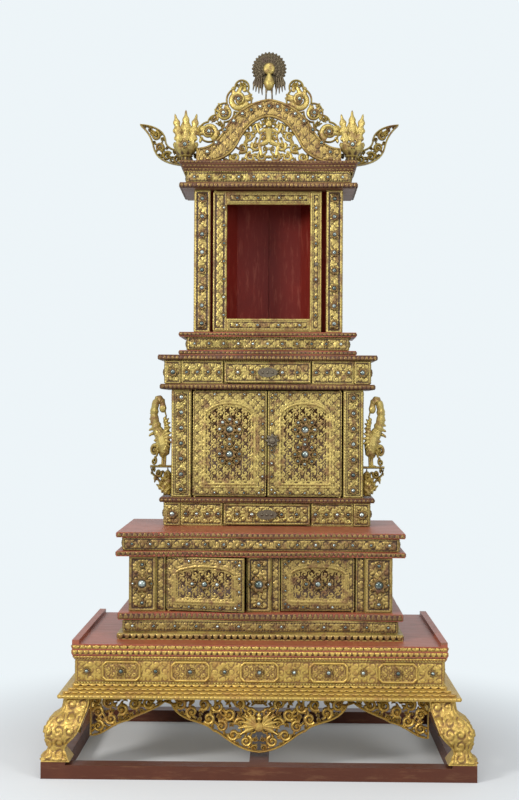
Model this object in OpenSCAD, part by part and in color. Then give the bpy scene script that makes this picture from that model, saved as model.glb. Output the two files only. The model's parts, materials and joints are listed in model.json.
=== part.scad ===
// A tiered votive shrine of carved, gilded and lacquered wood.
// From the ground up: an open foot frame, a low table on scroll legs, a wide lower cabinet,
// a drawer tier, a middle cabinet, a second drawer tier and a niche with a carved crest.
// Origin: centre of the foot frame on the ground. The front faces -Y and +Z is up.

/* [Foot frame] */
// Overall width across the foot rails
foot_w = 1600; // [1340:10:1920]
// Overall depth across the foot rails
foot_d = 950; // [800:10:1140]
// Height of the two side rails
side_rail_h = 62; // [50:1:75]
// Width of the two side rails
side_rail_w = 90; // [75:1:108]
// Height of the front, middle and back rails
cross_rail_h = 50; // [40:1:60]
// Width of the front, middle and back rails
cross_rail_w = 70; // [58:1:84]

/* [Table] */
// Height of a leg above its rail
leg_h = 221; // [184:1:265]
// Width of a leg where it meets the table
leg_top_w = 89; // [74:1:107]
// Width of the block under a leg
leg_foot_w = 106; // [88:1:120]
// How far the top of a leg stands inside the end of its foot
leg_rake = 78; // [60:1:92]
// Thickness of the carved aprons
apron_t = 24; // [18:1:29]
// Drop of the aprons beside the legs
apron_drop = 150; // [125:1:180]
// Drop of the pendant in the middle of the front apron
pendant_drop = 208; // [170:1:210]
// Width of the pendant in the middle of the front apron
pendant_w = 660; // [550:10:790]
// Height of the bottom moulding of the table
base_foot_h = 47; // [39:1:56]
// Height of the frieze round the table
base_frieze_h = 93; // [78:1:112]
// Thickness of the frieze boards
base_board_t = 22; // [18:1:27]
// Height of the top moulding of the table
base_top_h = 55; // [46:1:66]
// How far the frieze stands inside the ends of the feet
base_inset = 110; // [95:1:130]
// Projection of the bottom moulding beyond the frieze
base_foot_out = 57; // [35:1:68]
// Projection of the top moulding beyond the frieze
base_top_out = 12; // [8:1:16]
// Height of the loose rails on the ends of the table
table_rail_h = 15; // [12:1:18]
// Width of the loose rails on the ends of the table
table_rail_w = 26; // [20:1:32]

/* [Lower cabinet] */
// Width of the lower cabinet
lower_w = 1013; // [850:1:1060]
// Front plane of the lower cabinet, measured from the middle of the table
lower_front = -235; // [-280:1:-200]
// Back plane of everything that stands on the table
back_plane = 335; // [300:1:360]
// Height of the plinth on the table
lower_plinth_h = 75; // [63:1:90]
// Thickness of the serpentine boards
shelf_t = 20; // [17:1:24]
// Thickness of the floor board of the lower cabinet
lower_floor_t = 27; // [23:1:32]
// Height inside the lower cabinet
lower_h = 214; // [180:1:257]
// Height of the frieze over the lower cabinet
lower_frieze_h = 52; // [43:1:62]
// Depth of the waves in the front edge of a serpentine board
wave = 9; // [6:1:12]
// Projection of the serpentine boards
shelf_out = 46; // [38:1:55]
// Width of the outer pilasters of the lower cabinet
lower_pilaster_w = 104; // [86:1:125]
// Width of the middle pilaster of the lower cabinet
lower_centre_w = 92; // [76:1:110]
// Width of the plain jambs beside the lower doors
jamb_w = 35; // [28:1:42]
// How far the left door stands open, in degrees
ajar = 10; // [0:1:15]

/* [Upper cabinets] */
// Sideways place of the upper cabinets, to the right of the middle of the table
upper_shift = 20; // [0:1:30]
// Front plane of the upper cabinets
upper_front = 35; // [0:1:60]
// Width of the two drawer tiers
tier_w = 832; // [700:1:900]
// Height of the two drawer tiers
tier_h = 96; // [80:1:115]
// Projection of the boards over and under the drawer tiers
tier_out = 17; // [13:1:21]
// Width of a drawer front
drawer_w = 350; // [290:1:420]
// Width of the middle cabinet
middle_w = 778; // [650:1:830]
// Height inside the middle cabinet
middle_h = 438; // [365:1:525]
// Width of the pilasters of the middle cabinet
middle_pilaster_w = 80; // [66:1:96]

/* [Niche] */
// Width of the niche
niche_w = 602; // [500:1:720]
// Height inside the niche
niche_h = 580; // [485:1:690]
// Front plane of the niche
niche_front = 55; // [35:1:70]
// Width of the niche pilasters
niche_pilaster_w = 65; // [54:1:78]
// Height of the frieze under the niche
niche_plinth_h = 56; // [47:1:67]
// Projection of the boards over and under that frieze
niche_plinth_out = 31; // [25:1:37]
// Width of the left stile of the door frame
stile_left = 57; // [47:1:68]
// Width of the right stile of the door frame
stile_right = 45; // [38:1:54]
// Height of the top and bottom rails of the door frame
rail_h = 52; // [43:1:62]
// Gap between the door frame and the right pilaster
niche_gap = 20; // [10:1:24]
// Width between the lining boards at the back of the niche
lining_back_w = 270; // [225:1:324]

/* [Crest] */
// Height of the cornice frieze
cornice_frieze_h = 48; // [40:1:57]
// Height of the stepped cornice top
cornice_top_h = 40; // [34:1:48]
// Projection of the cornice beyond the niche
cornice_out = 56; // [46:1:60]
// Height of the arch over the cornice
arch_h = 253; // [211:1:303]
// Half the span of the arch
arch_half = 290; // [242:1:300]
// Width of the arch band at its crown
arch_band = 65; // [55:1:78]
// Thickness of the carved crest boards
crest_t = 30; // [25:1:36]
// Height of the bird over the arch
peacock_h = 199; // [168:1:238]
// Height of the horns over the cornice
horn_h = 168; // [140:1:201]
// How far a horn reaches beyond the niche
horn_reach = 230; // [192:1:260]
// Height of the leafy finials over the cornice
finial_h = 217; // [181:1:260]

/* [Woodwork] */
// Thickness of the cabinet sides and backs
wall_t = 16; // [13:1:19]
// Thickness of the doors
door_t = 18; // [15:1:21]
// Thickness of the pilasters
pilaster_t = 30; // [25:1:36]
// Thickness of the plain boards between the tiers
board_t = 18; // [15:1:21]
// Thickness of the drawer sides and bottoms
drawer_t = 9; // [7:1:11]
// Height of the mouldings under a board
fillet_h = 4; // [3:1:6]

/* [Fits] */
// Clearance round the doors and drawers
gap = 5; // [5:0.5:7]
// Clearance between a drawer and its runners
runner_gap = 1; // [0.5:0.1:2]
// Radius of the pivots on the doors
pivot_r = 5; // [4:0.1:6]
// Length of the pivots on the doors
pivot_l = 8; // [6:1:10]
// Clearance round a pivot
pivot_gap = 0.08; // [0.05:0.01:0.1]

/* [Hidden] */
$fn = 48;

gilt = "goldenrod";
old_gilt = "darkkhaki";
red = "firebrick";
dark_red = "maroon";
bronze = "dimgray";

// Heights, from the ground up
leg_z = side_rail_h;
base_foot_z = leg_z + leg_h;
base_frieze_z = base_foot_z + base_foot_h;
base_top_z = base_frieze_z + base_frieze_h;
table_z = base_top_z + base_top_h;
lower_floor_z = table_z + lower_plinth_h;
lower_z = lower_floor_z + lower_floor_t;
lower_top_z = lower_z + lower_h;
lower_frieze_z = lower_top_z + shelf_t;
lower_shelf_z = lower_frieze_z + lower_frieze_h;
lower_tier_z = lower_shelf_z + shelf_t;
middle_floor_z = lower_tier_z + tier_h;
middle_z = middle_floor_z + board_t;
middle_top_z = middle_z + middle_h;
upper_tier_z = middle_top_z + board_t + fillet_h;
upper_board_z = upper_tier_z + tier_h;
niche_foot_z = upper_board_z + board_t + fillet_h;
niche_plinth_z = niche_foot_z + board_t;
niche_floor_z = niche_plinth_z + niche_plinth_h;
niche_z = niche_floor_z + board_t;
cornice_z = niche_z + niche_h;
cornice_frieze_z = cornice_z + board_t + fillet_h;
cornice_top_z = cornice_frieze_z + cornice_frieze_h;
crest_z = cornice_top_z + cornice_top_h;
arch_z = crest_z + arch_h;

// Plan sizes
base_w = foot_w - 2 * base_inset;
base_d = foot_d - 2 * base_inset;
table_w = base_w + 2 * base_top_out;
table_d = base_d + 2 * base_top_out;
leg_x = foot_w / 2;
leg_y = foot_d / 2;
apron_front_y = -base_d / 2 - 6;
door_left_x0 = -lower_w / 2 + lower_pilaster_w + jamb_w;
door_left_x1 = -lower_centre_w / 2 - 6;
door_right_x0 = lower_centre_w / 2 - 6 + jamb_w;
door_right_x1 = lower_w / 2 - lower_pilaster_w - jamb_w;
lower_door_y = lower_front + pilaster_t - door_t;
drawer_h = tier_h - 2 * gap;
drawer_d = back_plane - upper_front - 2 * wall_t;
drawer_wall = drawer_w / 2 + gap;
middle_front = upper_front + 10;
middle_door_y = middle_front + 8;
middle_open = middle_w / 2 - middle_pilaster_w;
middle_door_w = middle_open - 1.5 * gap;
niche_open = niche_w / 2 - niche_pilaster_w;
niche_door_x0 = -niche_open + 2 * gap;
niche_door_x1 = niche_open - niche_gap;
niche_door_y = niche_front + 6;
crest_y = niche_front - cornice_out + 40;

// Points of a cubic curve
function curve_point(p, t) =
  pow(1 - t, 3) * p[0] + 3 * t * pow(1 - t, 2) * p[1] + 3 * t * t * (1 - t) * p[2] + pow(t, 3) * p[3];
function curve(p, n = 12) = [for (i = [0:n]) curve_point(p, i / n)];
function mirrored(p) = [for (i = [len(p) - 1:-1:0]) [-p[i][0], p[i][1]]];

// A plain board between two Y planes
module board(w, front, back, z, h, x = 0) {
  translate([x - w / 2, front, z])
    cube([w, back - front, h]);
}

// A board with a smaller fillet under it
module lipped_board(w, front, back, z, h, x = 0) {
  board(w, front, back, z + fillet_h, h, x);
  board(w - 4 * fillet_h, front + 2 * fillet_h, back, z, fillet_h, x);
}

// A hollow frame of four boards
module ring(w, front, back, z, h, t, x = 0) {
  difference() {
    board(w, front, back, z, h, x);
    board(w - 2 * t, front + t, back - t, z - 1, h + 2, x);
  }
}

// A board whose front edge waves: full at the middle and the ends, hollow between them
module serpentine(w, front, back, z, h) {
  edge = [for (i = [0:64]) let (x = -w / 2 + w * i / 64) [x, front + wave * (1 - cos(720 * x / w))]];
  translate([0, 0, z])
    linear_extrude(h)
      polygon(concat(edge, [[w / 2, back], [-w / 2, back]]));
}

// An outline drawn in X and Z, given a thickness from the plane y to the back
module carved(y, t) {
  translate([0, y + t, 0])
    rotate([90, 0, 0])
      linear_extrude(t)
        children();
}

// The same on both sides of the middle
module both_sides() {
  children();
  mirror([1, 0, 0]) children();
}

// ---------------------------------------------------------------- foot frame and table

module foot_side_rails() {
  color(dark_red)
    both_sides()
      translate([foot_w / 2 - side_rail_w, -foot_d / 2, 0])
        cube([side_rail_w, foot_d, side_rail_h]);
}

module foot_cross_rails() {
  inside = foot_w - 2 * side_rail_w;
  color(dark_red) {
    board(inside, -foot_d / 2, -foot_d / 2 + cross_rail_w, 0, cross_rail_h);
    board(inside, foot_d / 2 - cross_rail_w, foot_d / 2, 0, cross_rail_h);
    board(cross_rail_w, -foot_d / 2 + cross_rail_w, foot_d / 2 - cross_rail_w, 0, cross_rail_h);
  }
}

// Side view of a leg: a block, a thin neck, a round scroll and a square top.
// x runs inwards from the end of the foot.
module leg_outline() {
  top = leg_rake;
  neck = 30;
  outer = concat(
    [[0, 0], [4, 16]],
    curve([[14, 22], [neck, 34], [neck - 6, 44], [24, 60]]),
    curve([[24, 60], [4, 92], [10, 140], [48, 160]]),
    curve([[48, 160], [top - 6, 172], [top, 190], [top, leg_h]])
  );
  inner = concat(
    curve([[top + leg_top_w, leg_h], [top + leg_top_w, 180], [top + 70, 150], [top + 62, 120]]),
    curve([[top + 62, 120], [top + 50, 80], [leg_foot_w - 26, 60], [leg_foot_w - 22, 36]]),
    [[leg_foot_w - 10, 18], [leg_foot_w, 0]]
  );
  polygon(concat(outer, inner));
}

module leg() {
  intersection() {
    translate([0, 400, 0]) rotate([90, 0, 0]) linear_extrude(800) leg_outline();
    translate([-400, 0, 0]) rotate([90, 0, 90]) linear_extrude(800) leg_outline();
  }
}

module legs() {
  color(gilt)
    both_sides()
      for (s = [-1, 1])
        scale([-1, s, 1])
          translate([-leg_x, -leg_y, leg_z])
            leg();
}

// Lower edge of an apron from a leg to its middle: a cusped sweep
function apron_edge(half, z0, drop) = concat(
  curve([[-half, z0 - drop], [-half * 0.92, z0 - drop], [-half * 0.88, z0 - drop * 0.7],
    [-half * 0.78, z0 - drop * 0.62]]),
  curve([[-half * 0.78, z0 - drop * 0.62], [-half * 0.7, z0 - drop * 0.42], [-half * 0.64, z0 - drop * 0.4],
    [-half * 0.56, z0 - drop * 0.14]])
);

// The pendant in the middle of an apron
function pendant_edge(half, z0, drop) = concat(
  curve([[-half, z0 - drop * 0.14], [-half * 0.9, z0 - drop * 0.5], [-half * 0.62, z0 - drop * 0.42],
    [-half * 0.52, z0 - drop * 0.62]]),
  curve([[-half * 0.52, z0 - drop * 0.62], [-half * 0.4, z0 - drop * 0.66], [-half * 0.3, z0 - drop * 0.96],
    [0, z0 - drop]])
);

module apron_outline(half, drop, pendant_half, pendant) {
  z0 = base_foot_z;
  edge = concat(
    apron_edge(half, z0, drop),
    pendant_half > 0 ? pendant_edge(pendant_half, z0, pendant) : []
  );
  polygon(concat([[-half, z0]], edge, mirrored(edge), [[half, z0]]));
}

// Half the clear width between the tops of two legs
apron_half_x = leg_x - leg_rake - leg_top_w;
apron_half_y = leg_y - leg_rake - leg_top_w;

module apron_front() {
  color(gilt)
    carved(apron_front_y, apron_t)
      apron_outline(apron_half_x, apron_drop, pendant_w / 2, pendant_drop);
}

module apron_back() {
  color(gilt)
    carved(-apron_front_y - apron_t, apron_t)
      apron_outline(apron_half_x, apron_drop, 0, 0);
}

module apron_sides() {
  color(gilt)
    for (turn = [-90, 90])
      rotate([0, 0, turn])
        carved(-base_w / 2 - 6, apron_t)
          apron_outline(apron_half_y, apron_drop, 0, 0);
}

module base_bottom_board() {
  steps = [[0, base_foot_out, 14], [14, base_foot_out * 0.7, 10], [24, base_foot_out * 0.4, 9],
    [33, base_foot_out * 0.15, base_foot_h - 33]];
  color(gilt)
    for (s = steps)
      board(base_w + 2 * s[1], -base_d / 2 - s[1], base_d / 2 + s[1], base_foot_z + s[0], s[2]);
}

module base_frieze() {
  color(gilt)
    ring(base_w, -base_d / 2, base_d / 2, base_frieze_z, base_frieze_h, base_board_t);
}

module table_top() {
  bead = 12;
  color(gilt) {
    board(base_w + base_top_out, -base_d / 2 - base_top_out / 2, base_d / 2 + base_top_out / 2, base_top_z, bead);
    board(table_w, -table_d / 2, table_d / 2, base_top_z + bead, base_top_h - bead);
  }
}

module table_side_rails() {
  color(red)
    both_sides()
      translate([table_w / 2 - table_rail_w, -table_d / 2, table_z])
        cube([table_rail_w, table_d, table_rail_h]);
}

// ---------------------------------------------------------------- lower cabinet

module lower_plinth() {
  foot_h = 24;
  flare = shelf_out - 8;
  color(gilt) {
    ring(lower_w + 2 * flare, lower_front - flare, back_plane, table_z, foot_h, flare + wall_t);
    ring(lower_w + flare, lower_front - flare / 2, back_plane, table_z + foot_h, lower_plinth_h - foot_h, wall_t * 2);
  }
}

// Bores that take the pivots of a door, as deep as the pivots and a little more
module pivot_bore(x, y, z, down = false) {
  translate([x, y, down ? z - pivot_l - 1 : z - 1])
    cylinder(r = pivot_r + pivot_gap, h = pivot_l + 2);
}

lower_pivot_y = lower_door_y + door_t / 2;
lower_pivots = [door_left_x0 + gap + door_t / 2, door_right_x1 - gap - door_t / 2];

module lower_floor() {
  color(red)
    difference() {
      serpentine(lower_w + 2 * shelf_out - 18, lower_front - shelf_out + 9, back_plane, lower_floor_z, lower_floor_t);
      for (x = lower_pivots)
        pivot_bore(x, lower_pivot_y, lower_z, true);
    }
}

module lower_sides() {
  color(gilt)
    both_sides()
      translate([lower_w / 2 - wall_t, lower_front + pilaster_t, lower_z])
        cube([wall_t, back_plane - wall_t - lower_front - pilaster_t, lower_h]);
}

module lower_back() {
  color(dark_red)
    board(lower_w, back_plane - wall_t, back_plane, lower_z, lower_h);
}

// Outer and middle pilasters, each with a plain jamb that stands a little behind its face
module lower_pilasters() {
  jamb_t = pilaster_t - 12;
  outer = lower_w / 2 - lower_pilaster_w / 2;
  color(gilt) {
    for (x = [-outer, outer])
      board(lower_pilaster_w, lower_front, lower_front + pilaster_t, lower_z, lower_h, x);
    board(lower_centre_w, lower_front, lower_front + pilaster_t, lower_z, lower_h, -6);
    for (x = [door_left_x0 - jamb_w / 2, door_right_x0 - jamb_w / 2, door_right_x1 + jamb_w / 2])
      board(jamb_w, lower_front + 12, lower_front + 12 + jamb_t, lower_z, lower_h, x);
  }
}

module lower_top_board() {
  color(red)
    difference() {
      serpentine(lower_w + 2 * shelf_out, lower_front - shelf_out + 16, back_plane, lower_top_z, shelf_t);
      for (x = lower_pivots)
        pivot_bore(x, lower_pivot_y, lower_top_z);
    }
}

module lower_frieze() {
  color(gilt)
    ring(lower_w + shelf_out, lower_front, back_plane, lower_frieze_z, lower_frieze_h, wall_t);
}

module lower_shelf() {
  color(red)
    serpentine(lower_w + 2 * shelf_out, lower_front - shelf_out / 2, back_plane, lower_shelf_z, shelf_t);
}

// A door that turns on a pivot at its left edge; x = 0, y = 0 is the pivot's axis.
// The edge at the pivot is round, so that it turns inside its gap.
module pivot_door(w, h, arch) {
  sunk = 6;
  border = min(w, h) * 0.16;
  panel_w = w - 2 * border;
  panel_h = h - 2 * border;
  difference() {
    union() {
      translate([0, -door_t / 2, 0]) cube([w - door_t / 2, door_t, h]);
      cylinder(d = door_t, h = h);
      translate([0, 0, -pivot_l]) cylinder(r = pivot_r, h = h + 2 * pivot_l);
    }
    translate([w / 2 - door_t / 2, 0, border])
      carved(-door_t / 2 - 1, sunk + 1)
        intersection() {
          translate([-panel_w / 2, 0]) square([panel_w, panel_h]);
          translate([0, panel_h - arch]) scale([1, arch / (panel_w / 2)]) translate([0, -panel_h * 4])
            union() {
              translate([-panel_w / 2, 0]) square([panel_w, panel_h * 4]);
              translate([0, panel_h * 4]) circle(d = panel_w);
            }
        }
  }
}

module lower_door_left() {
  color(gilt)
    translate([lower_pivots[0], lower_pivot_y, lower_z + gap])
      rotate([0, 0, -ajar])
        pivot_door(door_left_x1 - door_left_x0 - 2 * gap, lower_h - 2 * gap, 34);
}

module lower_door_right() {
  color(gilt)
    translate([lower_pivots[1], lower_pivot_y, lower_z + gap])
      mirror([1, 0, 0])
        pivot_door(door_right_x1 - door_right_x0 - 2 * gap, lower_h - 2 * gap, 34);
}

// ---------------------------------------------------------------- drawer tiers

// Front boards beside the drawer, outer walls, drawer walls with runners, and a back
module drawer_case(z) {
  side_w = tier_w / 2 - drawer_wall;
  runner_w = 20;
  for (s = [-1, 1]) {
    mid = upper_shift + s * (drawer_wall + side_w / 2);
    board(side_w, upper_front, upper_front + wall_t, z, tier_h, mid);
    board(wall_t, upper_front + wall_t, back_plane - wall_t, z, tier_h, upper_shift + s * (drawer_wall + wall_t / 2));
    board(wall_t, upper_front + wall_t, back_plane - wall_t, z, tier_h, upper_shift + s * (tier_w - wall_t) / 2);
    board(runner_w, upper_front + wall_t, back_plane - wall_t, z, gap - runner_gap,
      upper_shift + s * (drawer_wall - runner_w / 2));
  }
  board(tier_w, back_plane - wall_t, back_plane, z, tier_h, upper_shift);
}

// An open tray with a thick front
module drawer(z) {
  front_t = wall_t + 4;
  difference() {
    board(drawer_w, upper_front - 4, upper_front - 4 + drawer_d, z + gap, drawer_h, upper_shift);
    board(drawer_w - 2 * drawer_t, upper_front - 4 + front_t, upper_front - 4 + drawer_d - drawer_t,
      z + gap + drawer_t, tier_h, upper_shift);
  }
}

// A carved wooden pull with a waist behind its face
module drawer_pull(z) {
  face_y = upper_front - 4;
  translate([upper_shift, face_y, z + tier_h / 2])
    rotate([90, 0, 0]) {
      cylinder(d = 14, h = 12);
      intersection() {
        translate([0, 0, 12]) scale([2.2, 1.1, 1]) cylinder(d1 = 26, d2 = 36, h = 7);
        translate([0, 0, 12]) cube([80, 42, 40], center = true);
      }
      for (x = [-20, 0, 20])
        translate([x, 0, 19]) sphere(d = 12);
    }
}

module lower_drawer_case() {
  color(gilt) drawer_case(lower_tier_z);
}

module lower_drawer() {
  color(gilt) drawer(lower_tier_z);
}

module lower_drawer_pull() {
  color(bronze) drawer_pull(lower_tier_z);
}

module upper_drawer_case() {
  color(gilt) drawer_case(upper_tier_z);
}

module upper_drawer() {
  color(gilt) drawer(upper_tier_z);
}

module upper_drawer_pull() {
  color(bronze) drawer_pull(upper_tier_z);
}

// ---------------------------------------------------------------- middle cabinet

middle_pivot_y = middle_door_y + door_t / 2;
middle_pivot_x = middle_open - gap - door_t / 2;

module middle_floor() {
  color(gilt)
    difference() {
      board(tier_w + 2 * tier_out, upper_front - tier_out, back_plane, middle_floor_z, board_t, upper_shift);
      for (s = [-1, 1])
        pivot_bore(upper_shift + s * middle_pivot_x, middle_pivot_y, middle_z, true);
    }
}

module middle_sides() {
  color(gilt)
    translate([upper_shift, 0, 0])
      both_sides()
        translate([middle_w / 2 - wall_t, middle_front + pilaster_t, middle_z])
          cube([wall_t, back_plane - wall_t - middle_front - pilaster_t, middle_h]);
}

module middle_back() {
  color(dark_red)
    board(middle_w, back_plane - wall_t, back_plane, middle_z, middle_h, upper_shift);
}

module middle_pilasters() {
  color(gilt)
    for (s = [-1, 1])
      board(middle_pilaster_w, middle_front, middle_front + pilaster_t, middle_z, middle_h,
        upper_shift + s * (middle_w - middle_pilaster_w) / 2);
}

module middle_door() {
  pivot_door(middle_door_w, middle_h - 2 * gap, 60);
}

// The left door has lost a strip of its lower free corner
module middle_door_left() {
  worn_w = 5;
  worn_h = 70;
  color(gilt)
    translate([upper_shift - middle_pivot_x, middle_pivot_y, middle_z + gap])
      difference() {
        middle_door();
        translate([middle_door_w - door_t / 2 - worn_w, -door_t, -1]) cube([worn_w + 1, door_t * 2, worn_h]);
      }
}

module middle_door_right() {
  color(gilt)
    translate([upper_shift + middle_pivot_x, middle_pivot_y, middle_z + gap])
      mirror([1, 0, 0])
        middle_door();
}

// A turned knob on the free edge of the right door
module middle_door_knob() {
  edge_x = upper_shift + gap / 2 + 18;
  color(bronze)
    translate([edge_x, middle_door_y, middle_z + middle_h * 0.53])
      rotate([90, 0, 0])
        rotate_extrude()
          polygon([[0, 0], [7, 0], [5, 5], [6, 8], [12, 12], [14, 16], [10, 20], [0, 22]]);
}

module middle_top_board() {
  color(gilt)
    difference() {
      lipped_board(tier_w + 2 * tier_out, upper_front - tier_out, back_plane, middle_top_z, board_t, upper_shift);
      for (s = [-1, 1])
        pivot_bore(upper_shift + s * middle_pivot_x, middle_pivot_y, middle_top_z);
    }
}

module upper_board() {
  color(gilt)
    lipped_board(tier_w + 2 * tier_out + 16, upper_front - tier_out - 8, back_plane, upper_board_z, board_t, upper_shift);
}

// A carved bird that stands on the board beside the middle cabinet
module bird_outline() {
  difference() {
    union() {
      polygon(concat(
        curve([[0, 0], [62, 0], [78, 40], [70, 130]]),
        curve([[70, 130], [118, 150], [124, 200], [96, 226]]),
        curve([[96, 226], [96, 270], [70, 300], [84, 340]]),
        curve([[84, 340], [110, 360], [100, 408], [60, 412]]),
        curve([[60, 412], [20, 412], [6, 380], [0, 340]])
      ));
      translate([28, 330]) circle(r = 28);
    }
    translate([66, 362]) circle(r = 20);
    translate([62, 190]) circle(r = 20);
    translate([34, 148]) circle(r = 10);
  }
}

module bird_brackets() {
  bird_t = 46;
  color(gilt)
    translate([upper_shift, 0, 0])
      both_sides()
        translate([middle_w / 2, 0, middle_z])
          carved(middle_front + 8, bird_t)
            scale([0.5 * (tier_w + 2 * tier_out - middle_w) / 58 * 1.1, middle_h / 438])
              bird_outline();
}

// ---------------------------------------------------------------- niche

niche_foot_w = niche_w + 50 + 2 * niche_plinth_out;

module niche_foot_board() {
  color(red)
    board(niche_foot_w, niche_front - 12 - niche_plinth_out, back_plane, niche_foot_z, board_t, upper_shift);
}

module niche_plinth() {
  color(gilt)
    ring(niche_w + 50, niche_front - 12, back_plane, niche_plinth_z, niche_plinth_h, wall_t, upper_shift);
}

niche_pivot_x = upper_shift + niche_door_x0 + door_t / 2;
niche_pivot_y = niche_door_y + door_t / 2;

module niche_floor() {
  color(red)
    difference() {
      board(niche_foot_w, niche_front - 12 - niche_plinth_out, back_plane, niche_floor_z, board_t, upper_shift);
      pivot_bore(niche_pivot_x, niche_pivot_y, niche_z, true);
    }
}

module niche_sides() {
  color(gilt)
    translate([upper_shift, 0, 0])
      both_sides()
        translate([niche_w / 2 - wall_t, niche_front + pilaster_t, niche_z])
          cube([wall_t, back_plane - wall_t - niche_front - pilaster_t, niche_h]);
}

// Two planks with an open seam between them, and a lip on one that runs behind the seam
module niche_back() {
  seam = 2;
  lip = 10;
  lip_t = wall_t * 0.4;
  plank = (niche_w - seam) / 2;
  color(red) {
    board(plank, back_plane - wall_t, back_plane, niche_z, niche_h, upper_shift - (plank + seam) / 2);
    board(lip + seam, back_plane - lip_t, back_plane, niche_z, niche_h, upper_shift + (lip - seam) / 2);
    difference() {
      board(plank, back_plane - wall_t, back_plane, niche_z, niche_h, upper_shift + (plank + seam) / 2);
      board(lip + 2 * seam, back_plane - lip_t - 1, back_plane + 1, niche_z - 1, niche_h + 2,
        upper_shift + lip / 2);
    }
  }
}

// Boards that run from the pilasters to the back, closer together there
module niche_lining() {
  lining_t = 10;
  front_y = niche_front + pilaster_t;
  back_y = back_plane - wall_t;
  front_x = niche_w / 2 - niche_pilaster_w;
  back_x = lining_back_w / 2;
  color(red)
    translate([upper_shift, 0, niche_z])
      both_sides()
        linear_extrude(niche_h)
          polygon([[front_x, front_y], [back_x, back_y], [back_x + lining_t, back_y], [front_x + lining_t, front_y]]);
}

module niche_pilasters() {
  color(gilt)
    for (s = [-1, 1])
      board(niche_pilaster_w, niche_front, niche_front + pilaster_t, niche_z, niche_h,
        upper_shift + s * (niche_w - niche_pilaster_w) / 2);
}

// An open frame that turns on pivots in its left stile
module niche_door() {
  w = niche_door_x1 - niche_door_x0;
  h = niche_h - 2 * gap;
  color(gilt)
    translate([niche_pivot_x, niche_pivot_y, niche_z + gap])
      difference() {
        union() {
          translate([0, -door_t / 2, 0]) cube([w - door_t / 2, door_t, h]);
          cylinder(d = door_t, h = h);
          translate([0, 0, -pivot_l]) cylinder(r = pivot_r, h = h + 2 * pivot_l);
        }
        translate([stile_left - door_t / 2, -door_t, rail_h])
          cube([w - stile_left - stile_right, 2 * door_t, h - 2 * rail_h]);
      }
}

module niche_door_knob() {
  color(bronze)
    translate([upper_shift + niche_door_x1 - stile_right * 0.45, niche_door_y, niche_z + niche_h * 0.48])
      rotate([90, 0, 0])
        rotate_extrude()
          polygon([[0, 0], [6, 0], [4.5, 6], [9, 12], [9, 16], [6, 19], [0, 20]]);
}

// ---------------------------------------------------------------- cornice and crest

module cornice_moulding() {
  color(gilt)
    difference() {
      lipped_board(niche_w + 2 * cornice_out, niche_front - cornice_out, back_plane, cornice_z, board_t, upper_shift);
      pivot_bore(niche_pivot_x, niche_pivot_y, cornice_z);
    }
}

module cornice_frieze() {
  color(gilt)
    ring(niche_w + cornice_out, niche_front - cornice_out / 2, back_plane, cornice_frieze_z, cornice_frieze_h,
      wall_t, upper_shift);
}

module cornice_top() {
  steps = 3;
  step_h = cornice_top_h / steps;
  color(gilt)
    for (i = [0:steps - 1])
      board(niche_w + 2 * (cornice_out - 14 + 7 * i), niche_front - cornice_out + 14 - 7 * i, back_plane,
        cornice_top_z + i * step_h, step_h, upper_shift);
}

// Outer and inner edges of the left half of the ogee arch
arch_outer = concat(
  curve([[-arch_half, crest_z + arch_h * 0.22], [-arch_half * 0.8, crest_z + arch_h * 0.2],
    [-arch_half * 0.66, crest_z + arch_h * 0.4], [-arch_half * 0.56, crest_z + arch_h * 0.62]]),
  curve([[-arch_half * 0.56, crest_z + arch_h * 0.62], [-arch_half * 0.44, crest_z + arch_h * 0.82],
    [-arch_half * 0.22, arch_z - 6], [0, arch_z]])
);
arch_inner = concat(
  curve([[-arch_half, crest_z], [-arch_half * 0.7, crest_z], [-arch_half * 0.52, crest_z + arch_h * 0.1],
    [-arch_half * 0.42, crest_z + arch_h * 0.36]]),
  curve([[-arch_half * 0.42, crest_z + arch_h * 0.36], [-arch_half * 0.3, crest_z + arch_h * 0.62],
    [-arch_half * 0.16, arch_z - arch_band - 4], [0, arch_z - arch_band]])
);

module crest_arch() {
  color(gilt)
    translate([upper_shift, 0, 0])
      carved(crest_y, crest_t)
        difference() {
          polygon(concat([[-arch_half, crest_z]], arch_outer, mirrored(arch_outer), [[arch_half, crest_z]]));
          polygon(concat(arch_inner, mirrored(arch_inner)));
        }
}

// Pierced foliage that fills the arch
module crest_tympanum() {
  color(old_gilt)
    translate([upper_shift, 0, 0])
      carved(crest_y + crest_t * 0.2, crest_t * 0.5)
        difference() {
          offset(delta = -0.2) polygon(concat(arch_inner, mirrored(arch_inner)));
          for (x = [-0.3, -0.1, 0.1, 0.3])
            for (row = [0, 1])
              translate([x * arch_half * (1 - 0.25 * row), crest_z + arch_h * (0.14 + 0.3 * row)])
                circle(r = arch_h * 0.055);
        }
}

// Pairs of curls over the shoulders of the arch
module crest_scrolls() {
  color(old_gilt)
    translate([upper_shift, 0, 0])
      both_sides()
        carved(crest_y + crest_t * 0.2, crest_t * 0.6)
          difference() {
            union() {
              translate([arch_half * 0.42, arch_z + arch_h * 0.01]) circle(r = arch_h * 0.2);
              translate([arch_half * 0.38, arch_z + arch_h * 0.22]) circle(r = arch_h * 0.11);
              translate([arch_half * 0.62, arch_z - arch_h * 0.19]) circle(r = arch_h * 0.15);
              translate([arch_half * 0.84, arch_z - arch_h * 0.5]) circle(r = arch_h * 0.16);
              translate([arch_half * 0.74, arch_z - arch_h * 0.36]) circle(r = arch_h * 0.13);
            }
            polygon(concat([[-arch_half, crest_z]], arch_outer, mirrored(arch_outer), [[arch_half, crest_z]]));
          }
}

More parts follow.
